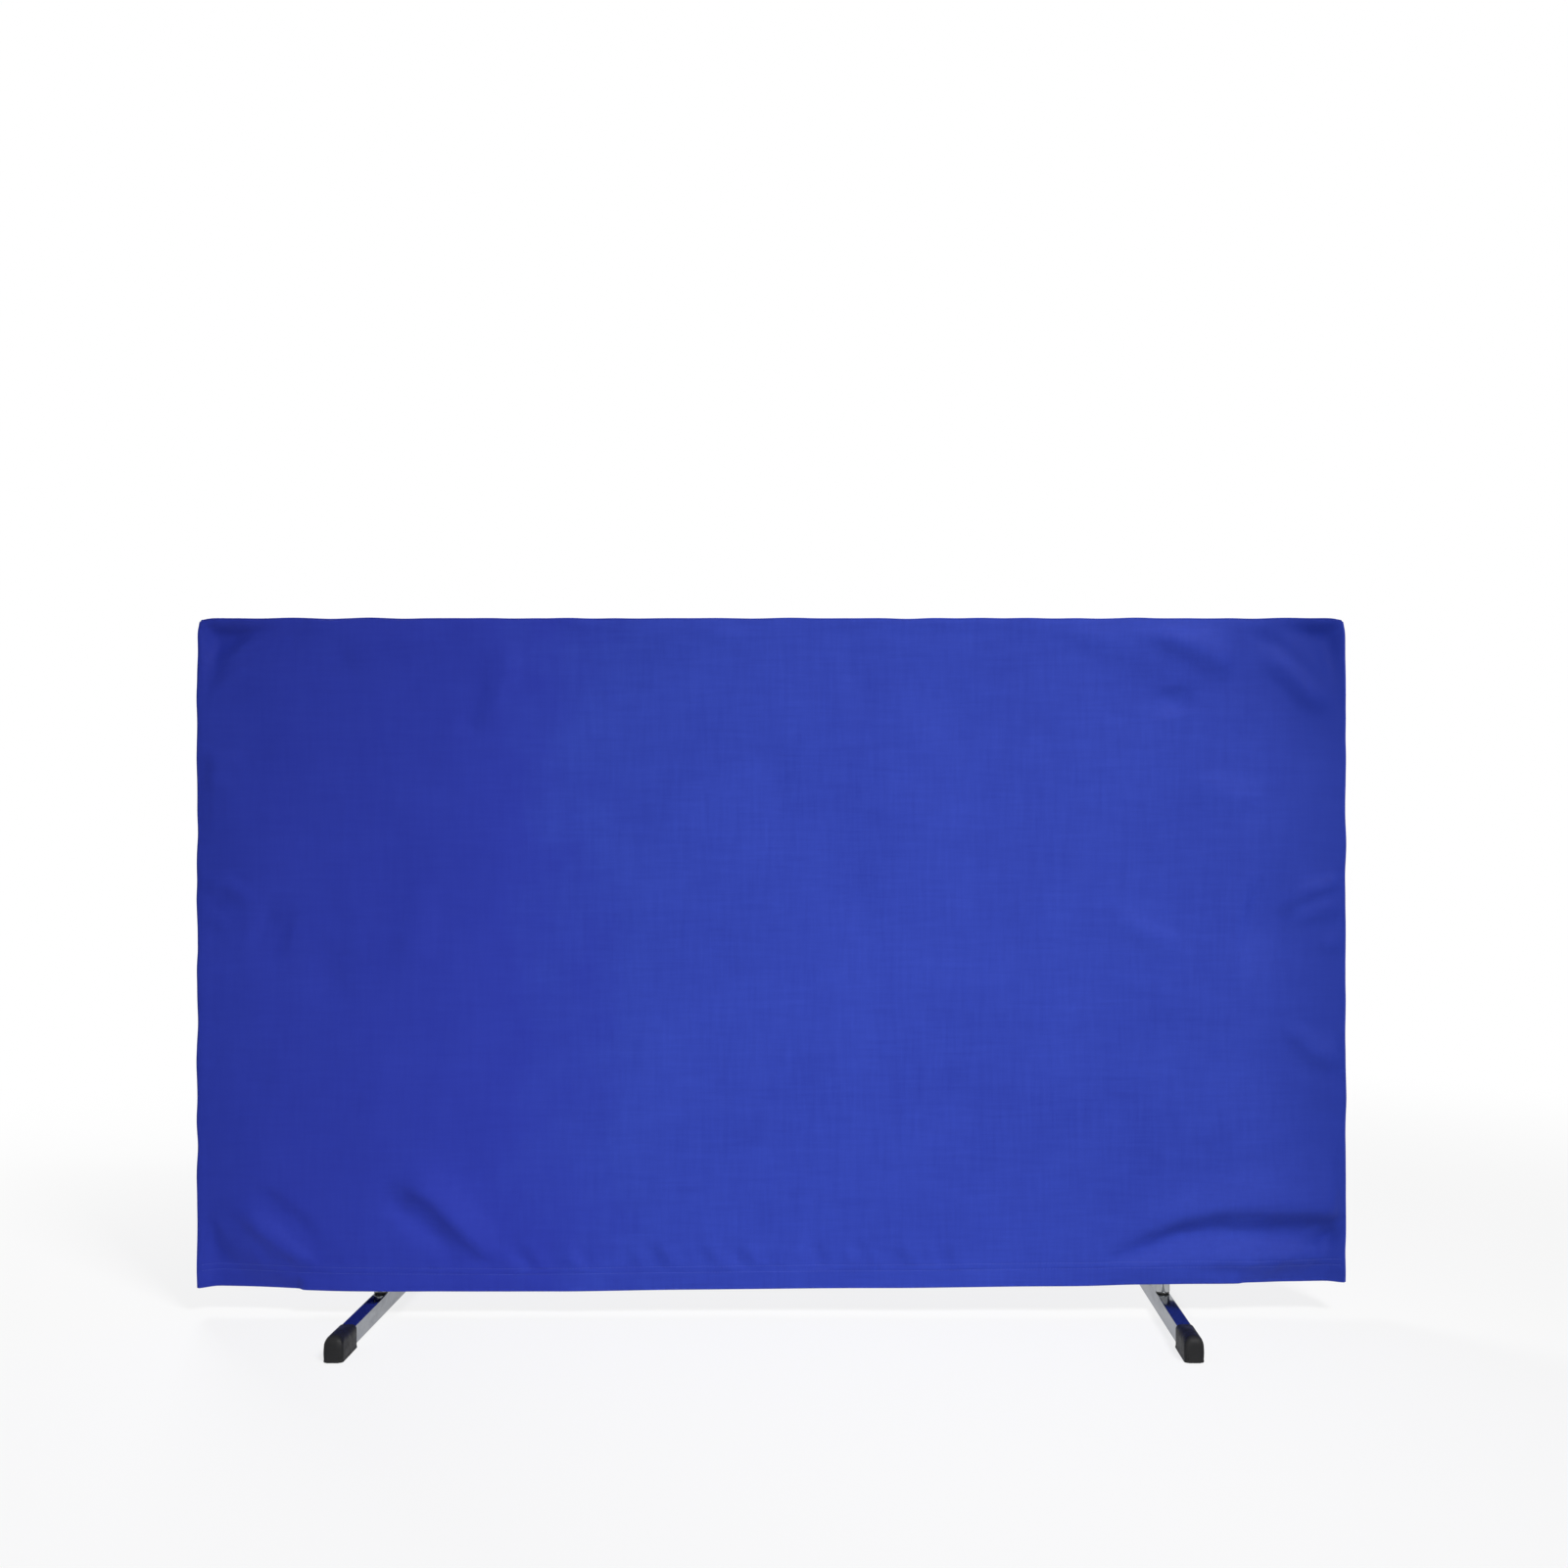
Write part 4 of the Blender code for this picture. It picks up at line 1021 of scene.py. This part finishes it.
def make_closure():
    """The flap under the bottom rail, sewn to the back's hem and closed on the front's hem by two tapes."""
    half = flap_high.x
    low_z, top_z = flap_low.z + CLOTH, flap_high.z
    back_y = cover_plane - 2 * CLOTH - 2 * HEM_TURN - TUBE_ROOM
    front_y = -(cover_plane - CLOTH - 2 * HEM_TURN - TAPES_ROOM)
    near_y, far_y = front_y + FLAP_CORNER, back_y - FLAP_CORNER
    outline = [(front_y, top_z), *arc((near_y, low_z + FLAP_CORNER), FLAP_CORNER, 180, 270, 6)]
    outline += [(y, low_z) for y in np.linspace(near_y, far_y, 9)[1:-1]]
    outline += [*arc((far_y, low_z + FLAP_CORNER), FLAP_CORNER, 270, 360, 6), (back_y, top_z)]
    across = np.array(outline)
    x = np.linspace(-half, half, 161)
    sag = FLAP_SAG * noise_field(x, x * 0, 0.05, 90.0)
    places = np.empty((len(across), len(x), 3))
    places[..., 0] = x
    places[..., 1] = across[:, :1]
    places[..., 2] = across[:, 1:] + np.where(across[:, 1:] < low_z + 0.5 * MM, sag, 0.0)
    flap = cloth_piece("closure_flap_cloth", places, TOP_FABRIC, "closure_flap")
    x, z = np.meshgrid(np.linspace(-half, half, 281), np.linspace(low_z + 0.6 * MM, top_z, 7))
    rough = TAPE_ROUGH * noise_field(x, z, 0.0022, 95.0)
    for kind, inside in TAPE_PLACES.items():
        tape = np.stack([x, front_y - inside + rough, z], -1).reshape(-1, 3)
        strip = thickened(new_object(f"closure_{kind}_strip", tape, grid_quads(*x.shape)), TAPE_THICKNESS)
        finish_piece(strip, TAPE, "closure_tape", "barrier", f"closure_{kind}_tape")


# Frame


def tube_piece(node, points, mat, cutters, radii=None):
    """An open tube along a path in the barrier's own plane, with cutters taken out of it."""
    radii = radii or [tube_radius] * len(points)
    points = np.array([(x, 0.0, z) for x, z in points])
    ways = np.gradient(points, axis=0)
    ways /= np.linalg.norm(ways, axis=1)[:, None]
    depth = np.array([0.0, 1.0, 0.0])
    angles = ring_angles(48)[:, None]
    outer, inner = [], []
    for point, way, radius in zip(points, ways, radii):
        circle = np.cos(angles) * np.cross(way, depth) + np.sin(angles) * depth
        outer.append(point + radius * circle)
        inner.append(point + (radius - TUBE_WALL) * circle)
    tube = sharpen(loft(f"{node}_tube", outer + inner[::-1], closed_path=True))
    for cutter in cutters:
        combine(tube, cutter)
    finish_piece(sharpen(tube), mat, "chrome_plate", "barrier", node)


def screw_cutter(level, side, run):
    """A hole for a screw through the rear of the tubes that it joins."""
    x, z = middle_of(f"{level}_{side}_{run}_screw")
    return rod("drill", (x, 0, z), (x, tube_radius + DRILL_PAST, z), SCREW_HOLE, 24)


def make_bend(level, side):
    """A corner's bend, from its neck in the upright to its neck in the rail."""
    up, out = LEVELS[level], SIDES[side]
    corner_x, corner_z = out * upright_x, top_rail_z if up > 0 else rail_z
    centre_x, centre_z = corner_x - out * BEND_RADIUS, corner_z - up * BEND_RADIUS
    reach, ease = BEND_TAIL + NECK, NECK_EASE
    tail = (reach + SPIGOT, reach + 2 * ease, reach - ease, BEND_TAIL)
    path = [(corner_x, centre_z - up * off) for off in tail]
    for angle in np.radians(np.linspace(0, 90, 25)):
        along, across = BEND_RADIUS * math.cos(angle), BEND_RADIUS * math.sin(angle)
        path.append((centre_x + out * along, centre_z + up * across))
    path += [(centre_x - out * off, corner_z) for off in tail[::-1]]
    neck = tube_radius - TUBE_WALL - GAP
    radii = [neck, neck, tube_radius - ease, tube_radius]
    radii += [tube_radius] * (len(path) - 8) + radii[::-1]
    cutters = [screw_cutter(level, side, run) for run in RUNS]
    tube_piece(f"corner_bend_{level}_{side}", path, CHROME_X, cutters, radii)


def make_frame():
    through = tube_radius + DRILL_PAST
    for level, z in (("top", top_rail_z), ("bottom", rail_z)):
        low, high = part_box(f"{level}_rail")
        cutters = [screw_cutter(level, side, "rail") for side in SIDES]
        for sign in SIDES.values() if level == "bottom" else ():
            cutters.append(upright_rod("drill", sign * foot_x, z - through, z + through, BORE))
        tube_piece(f"{level}_rail", [(x, z) for x in np.linspace(low.x, high.x, 41)], CHROME_X, cutters)
    for side, sign in SIDES.items():
        low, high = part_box(f"{side}_upright")
        cutters = [screw_cutter(level, side, "upright") for level in LEVELS]
        points = [(sign * upright_x, z) for z in np.linspace(low.z, high.z, 21)]
        tube_piece(f"{side}_upright", points, CHROME_Z, cutters)
        for level in LEVELS:
            make_bend(level, side)


def screw_mesh():
    """A pan head screw along +Z with its head's underside at the origin and a cross recess."""
    head, height, shank, length = 3.4 * MM, 1.8 * MM, 1.5 * MM, 8 * MM
    profile = [(0, height)]
    for angle in np.radians([15, 30, 45, 60]):
        profile.append((head * math.sin(angle), height - 0.9 * MM * (1 - math.cos(angle))))
    profile += [(head, 0.7 * MM), (head, 0.15 * MM), (head - 0.15 * MM, 0), (shank, 0)]
    pitch = 0.8 * MM
    for turn in range(7):
        top = -0.5 * MM - turn * pitch
        profile += [(shank, top), (shank - 0.25 * MM, top - 0.35 * pitch), (shank, top - 0.7 * pitch)]
    profile += [(shank * 0.7, -length + 1.2 * MM), (0, -length)]
    screw = turned("screw_shape", profile, sides=32)
    slot_x, slot_y, slot_low = 1.9 * MM, 0.35 * MM, height - 1.1 * MM
    for degrees in (20, 110):
        slot = block("slot", (-slot_x, -slot_y, slot_low), (slot_x, slot_y, height + 1 * MM))
        slot.data.transform(Matrix.Rotation(math.radians(degrees), 4, "Z"))
        combine(screw, slot)
    mesh = sharpen(screw).data.copy()
    bpy.data.objects.remove(screw)
    return mesh


def make_screws():
    mesh = screw_mesh()
    mesh.transform(Matrix.Rotation(math.radians(-90), 4, "X"))
    for node in SCREWS:
        x, z = middle_of(node)
        own = mesh.copy()
        own.transform(Matrix.Translation((x, tube_radius + GAP, z)))
        finish_piece(linked(f"{node}_cross_head", own), ZINC, "zinc_steel", "barrier", node)


# Feet and pivots


def foot_section(low, high, inset, y):
    """The rounded outline of a foot's tube at one place along it, or of its inside."""
    west, east = low.x + FOOT_CORNER, high.x - FOOT_CORNER
    under, over = low.z + FOOT_CORNER, high.z - FOOT_CORNER
    section = []
    for middle, start in (((east, over), 0), ((west, over), 90), ((west, under), 180), ((east, under), 270)):
        section += [(x, y, z) for x, z in arc(middle, FOOT_CORNER - inset, start, start + 90, 8)]
    return section


def make_foot_tube(side):
    low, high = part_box(f"{side}_foot_tube")
    x = middle_of(f"{side}_foot_tube")[0]
    stations = np.linspace(low.y, high.y, 31)
    outer = [foot_section(low, high, 0, y) for y in stations]
    inner = [foot_section(low, high, TUBE_WALL, y) for y in stations]
    tube = loft(f"{side}_foot_box_tube", outer + inner[::-1], closed_path=True)
    head_hole = half_width_of(f"{side}_pivot_bolt") + GAP
    for z, radius in ((high.z, BORE), (low.z, head_hole)):
        combine(tube, upright_rod("drill", x, z - DRILL_PAST, z + DRILL_PAST, radius))
    finish_piece(sharpen(tube), CHROME_Y, "chrome_plate", f"{side}_foot", f"{side}_foot_tube")


def cap_section(y, half_width, top, rounding, belly):
    """One section of a boot across the foot, from the middle of its sole round to the middle of its top."""
    foot = half_width + CAP_LIP
    edge_x = foot - SOLE_EDGE
    right = [(foot * share * 0.98, 0.0) for share in (0.0, 0.3, 0.6, 0.9)]
    right += arc((edge_x, SOLE_EDGE), SOLE_EDGE, -80, 0, 4)
    right += arc((edge_x, LIP_HIGH - SOLE_EDGE), SOLE_EDGE, 0, 60, 3)
    side_low = min(LIP_HIGH + 0.9 * MM, top)
    side_high = max(top - rounding, side_low)
    for share in np.linspace(0, 1, 7):
        z = side_low + (side_high - side_low) * share
        right.append((half_width + belly * math.sin(math.pi * (0.15 + 0.75 * share)), z))
    end_x, end_z = right[-1]
    flat = max(end_x - rounding, 0.0)
    for angle in np.radians(np.linspace(0, 90, 10))[1:]:
        right.append((flat + (end_x - flat) * math.cos(angle), end_z + (top - end_z) * math.sin(angle)))
    left = [(-x, z) for x, z in right[::-1] if x > 0]
    return [(x, y, z) for x, z in right + left]


def cap_pocket(section, half_x, low_z, high_z):
    """The places in a boot's pocket that face a section of its outside."""
    corner = FOOT_CORNER + GAP
    inside = []
    for x, _, z in section:
        near = Vector((
            min(max(x, corner - half_x), half_x - corner),
            min(max(z, low_z + corner), high_z - corner),
        ))
        place = near + (Vector((x, z)) - near).normalized() * corner
        inside.append((place.x, place.y))
    return inside


def make_cap(side, end):
    """A rubber boot that swells from a thin rim to a rounded nose over a small lip round its sole."""
    node = f"{side}_foot_{end}_cap"
    low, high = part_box(node)
    length = high.y - low.y
    tube_low, tube_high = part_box(f"{side}_foot_tube")
    tube_half = half_width_of(f"{side}_foot_tube")
    rim_half = tube_half + GAP + CAP_RIM
    rim_top = tube_high.z + GAP + CAP_RIM
    full_half = half_width_of(node) - CAP_LIP
    body_end = length - 0.9 * MM
    nose_start = body_end - CAP_NOSE
    stations = [0.0, 0.35 * MM, 1.0 * MM, *np.linspace(2.5 * MM, nose_start, 22)]
    stations += [nose_start + CAP_NOSE * math.sin(a) for a in np.radians(np.linspace(0, 90, 14))[1:]]
    rings = []
    for y in stations:
        swell = float(eased(y / (0.55 * length)))
        half_width = rim_half + (full_half - rim_half) * swell
        top = rim_top + (high.z - rim_top) * swell
        edge = max(0.0, 0.4 * MM - y)
        into_nose = max(0.0, y - nose_start) / CAP_NOSE
        fall = 1 - math.sqrt(max(0.0, 1 - into_nose**2.2))
        into_plan = max(0.0, y - (body_end - NOSE_PLAN)) / NOSE_PLAN
        drawn = 1 - math.sqrt(max(0.0, 1 - into_plan**2))
        rounding = (4.6 + 3.6 * swell) * MM * (1 - 0.35 * fall)
        width = half_width - edge - drawn * NOSE_PLAN
        rings.append(cap_section(y, width, top - edge - fall * CAP_NOSE, rounding, 0.5 * MM * swell))
    last = cap_section(length - 0.25 * MM, full_half - NOSE_PLAN, 3.2 * MM, 0.4 * MM, 0.0)
    rings.append(last)
    rings.append([(x * 0.96, length, min(z, 1.9 * MM) * 0.96 + 0.02 * MM) for x, _, z in last])
    inside = cap_pocket(rings[0], tube_half + GAP, tube_low.z - GAP, tube_high.z + GAP)
    pocket = [[(x, y, z) for x, z in inside] for y in (length - CAP_NOSE_WALL + GAP, 0.0, 0.3 * MM)]
    shape = np.array(pocket + rings)
    flip, rim_y = (-1, high.y) if end == "front" else (1, low.y)
    shape[..., 1] = rim_y + flip * shape[..., 1]
    shape[..., 0] += middle_of(node)[0]
    boot = sharpen(loft(f"{side}_foot_{end}_boot", shape), 50)
    finish_piece(boot, RUBBER, "black_rubber", f"{side}_foot", node)


def make_bolt(side, x):
    low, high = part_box(f"{side}_pivot_bolt")
    radius, head, head_height = 3.0 * MM, half_width_of(f"{side}_pivot_bolt"), 4 * MM
    rounding, chamfer = 0.6 * MM, 0.2 * MM
    head_top = low.z + head_height
    profile = [(0.0, low.z), *arc((head - rounding, low.z + rounding), rounding, -90, 0, 4)]
    profile += [(head, head_top - chamfer), (head - chamfer, head_top), (radius, head_top)]
    thread_low, thread_high = rail_z + 4 * MM, high.z - 0.5 * MM
    profile.append((radius, thread_low))
    for z in np.arange(thread_low, thread_high, THREAD_PITCH / 8):
        grow = min(1.0, (z - thread_low) / THREAD_PITCH)
        phase = (z / THREAD_PITCH - ring_angles(BOLT_SIDES) / (2 * math.pi)) % 1.0
        profile.append((radius - THREAD_DEPTH * grow * (1 - abs(2 * phase - 1)), z))
    profile += [(radius - THREAD_DEPTH - chamfer, high.z), (0.0, high.z)]
    rings = [level_ring(ring_radius, z, x, BOLT_SIDES) for ring_radius, z in profile]
    bolt = loft(f"{side}_pivot_socket_bolt", rings, capped=False)
    combine(bolt, upright_rod("socket", x, low.z - 1 * MM, low.z + 2.2 * MM, 2.3 * MM, 6))
    finish_piece(sharpen(bolt), ZINC, "zinc_steel", "barrier", f"{side}_pivot_bolt")


def make_nut(side, x):
    low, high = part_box(f"{side}_lock_nut")
    across = (high.y - low.y) / 2
    corner = half_width_of(f"{side}_lock_nut")
    corner = max(across / COS_30 if across < corner else across, corner)
    flat = corner * COS_30
    top = low.z + 4.5 * MM
    nut = upright_rod(f"{side}_lock_nut_hexagon", x, low.z, top, corner, 6)
    wide, chamfer = corner + 0.1 * MM, 0.7 * MM
    profile = [(0, top), (flat, top), (wide, top - chamfer)]
    profile += [(wide, low.z + chamfer), (flat, low.z), (0, low.z)]
    combine(nut, turned("chamfer", profile, x), "INTERSECT")
    collar, rounding, sunk = flat - 0.6 * MM, 0.6 * MM, 0.8 * MM
    profile = [(0, high.z), (collar - 0.9 * MM, high.z)]
    profile += arc((collar - rounding, high.z - rounding), rounding, 90, 0, 5)
    profile += [(collar, top - sunk), (0, top - sunk)]
    combine(nut, turned("collar", profile, x), "UNION")
    combine(nut, upright_rod("bore", x, low.z - 1 * MM, high.z + 1 * MM, BORE))
    ring_low, ring_high, ring_outer = high.z - 1.9 * MM, high.z - 0.15 * MM, collar - 0.75 * MM
    radii, heights = (3.2 * MM, ring_outer + 0.02 * MM), (ring_low, high.z + 1 * MM)
    combine(nut, turned_ring("seat", x, radii, heights, 0.1 * MM, sides=64))
    finish_piece(sharpen(nut), ZINC, "zinc_steel", "barrier", f"{side}_lock_nut")
    radii, heights = (3.1 * MM, ring_outer - 0.02 * MM), (ring_low + 0.05 * MM, ring_high)
    insert = turned_ring(f"{side}_lock_nut_nylon_ring", x, radii, heights, 0.3 * MM, sides=64)
    finish_piece(insert, NYLON, "black_plastic", "barrier")


def make_pivot(side, sign):
    """What the foot turns on and what the bolt clamps, up to the nut on the bottom rail."""
    x = sign * foot_x
    saddle_low = rail_z + tube_radius - 2.2 * MM
    for node, name, start, edge, steps, mat, slot in (
        ("pivot_boss", "pivot_saddle_boss", None, 0.9, 6, CHROME_Z, "chrome_plate"),
        ("pivot_washer", "pivot_friction_washer", None, 0.25, 4, PLASTIC, "black_plastic"),
        ("rail_washer", "rail_saddle_washer", saddle_low, 0.35, 4, ZINC, "zinc_steel"),
    ):
        low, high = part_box(f"{side}_{node}")
        radii, heights = (BORE, half_width_of(f"{side}_{node}")), (start or low.z, high.z)
        ring = turned_ring(f"{side}_{name}", x, radii, heights, edge * MM, steps)
        if node != "pivot_washer":
            rail = rod("rail", (x - 14 * MM, 0, rail_z), (x + 14 * MM, 0, rail_z), tube_radius + GAP, 96)
            sharpen(combine(ring, rail))
        finish_piece(ring, mat, slot, "barrier", f"{side}_{node}")
    make_bolt(side, x)
    make_nut(side, x)


# Camera, lights and stage


def make_camera():
    data = bpy.data.cameras.new("camera")
    camera = linked("camera", data)
    vanishing_x, vanishing_z = PHOTO_VANISHING
    camera.location = (photo_x(vanishing_x), -cover_plane - CAMERA_DISTANCE, photo_z(vanishing_z))
    camera.rotation_euler = (math.radians(90), 0, 0)
    data.sensor_width = SENSOR_WIDTH
    data.lens = SENSOR_WIDTH * PHOTO_PIXELS_PER_METRE * CAMERA_DISTANCE / PHOTO_SIDE
    data.shift_x = (PHOTO_SIDE / 2 - vanishing_x) / PHOTO_SIDE
    data.shift_y = (vanishing_z - PHOTO_SIDE / 2) / PHOTO_SIDE
    bpy.context.scene.camera = camera


def area_light(name, location, target, width, height, watts, spread=180):
    data = bpy.data.lights.new(name, "AREA")
    data.shape = "RECTANGLE"
    data.size = width
    data.size_y = height
    data.energy = watts
    data.spread = math.radians(spread)
    light = linked(name, data)
    light.location = location
    light.rotation_euler = (Vector(target) - Vector(location)).to_track_quat("-Z", "Y").to_euler()


def show_white(stage, shader_output, target, white_type, share):
    """Mixes plain white into a stage material, for what the camera, chrome and glass see of it."""
    path = stage.node("ShaderNodeLightPath").outputs
    seen = path["Is Camera Ray"]
    for ray in ("Is Glossy Ray", "Is Transmission Ray"):
        seen = stage.maths("MAXIMUM", seen, path[ray])
    white = stage.node(white_type, Color=(1, 1, 1, 1), Strength=1.0)
    mix = stage.node("ShaderNodeMixShader")
    parts = (stage.maths("MULTIPLY", seen, share), shader_output, white.outputs[0])
    for socket, value in zip(mix.inputs, parts):
        stage.feed(socket, value)
    stage.feed(target, mix.outputs[0])


def make_stage():
    """A pale floor and a white background, with soft light from above and from the right."""
    world = bpy.data.worlds.new("studio")
    world.use_nodes = True
    bpy.context.scene.world = world
    stage = Nodes(world.node_tree)
    ambient = stage.nodes["Background"]
    ambient.inputs["Color"].default_value = (1, 1, 1, 1)
    ambient.inputs["Strength"].default_value = 0.20
    surface = stage.nodes["World Output"].inputs["Surface"]
    show_white(stage, ambient.outputs[0], surface, "ShaderNodeBackground", 1.0)

    floor = primitive("floor", bmesh.ops.create_grid, x_segments=1, y_segments=1, size=30)
    look = Look("floor", (0.86, 0.86, 0.86), 0.9, specular=0.0)
    # The floor turns white with its distance from the barrier, so that it ends in the background
    share = look.spread(look.distance(look.places, (0, 0, 0)), *FLOOR_FADE, 0.80, 1.0, "SMOOTHSTEP")
    surface = look.nodes["Material Output"].inputs["Surface"]
    show_white(look, look.shader.outputs[0], surface, "ShaderNodeEmission", share)
    floor.data.materials.append(look.mat)

    area_light("key", (1.1, -2.0, 2.3), (0.0, 0, 0.16), 0.7, 0.7, 8.7, 56)
    area_light("fill", (0.0, -1.3, 0.05), (0.0, 0, 0.02), 1.0, 0.08, 3.0)
    area_light("back", (-1.6, 2.2, 2.2), (0, 0, 0.35), 1.0, 1.0, 50)
    bpy.context.scene.view_settings.view_transform = "Standard"


make_panel("cover_front_cloth", -1, FRONT_FOLDS, 3.1, 241, 125, "cover_front_panel")
make_panel("cover_back_cloth", 1, BACK_FOLDS, 33.7, 201, 100, "cover_back_panel")
make_strips()
make_closure()
make_frame()
make_screws()
for side_name, side_sign in SIDES.items():
    make_foot_tube(side_name)
    make_cap(side_name, "front")
    make_cap(side_name, "rear")
    make_pivot(side_name, side_sign)
make_camera()
make_stage()
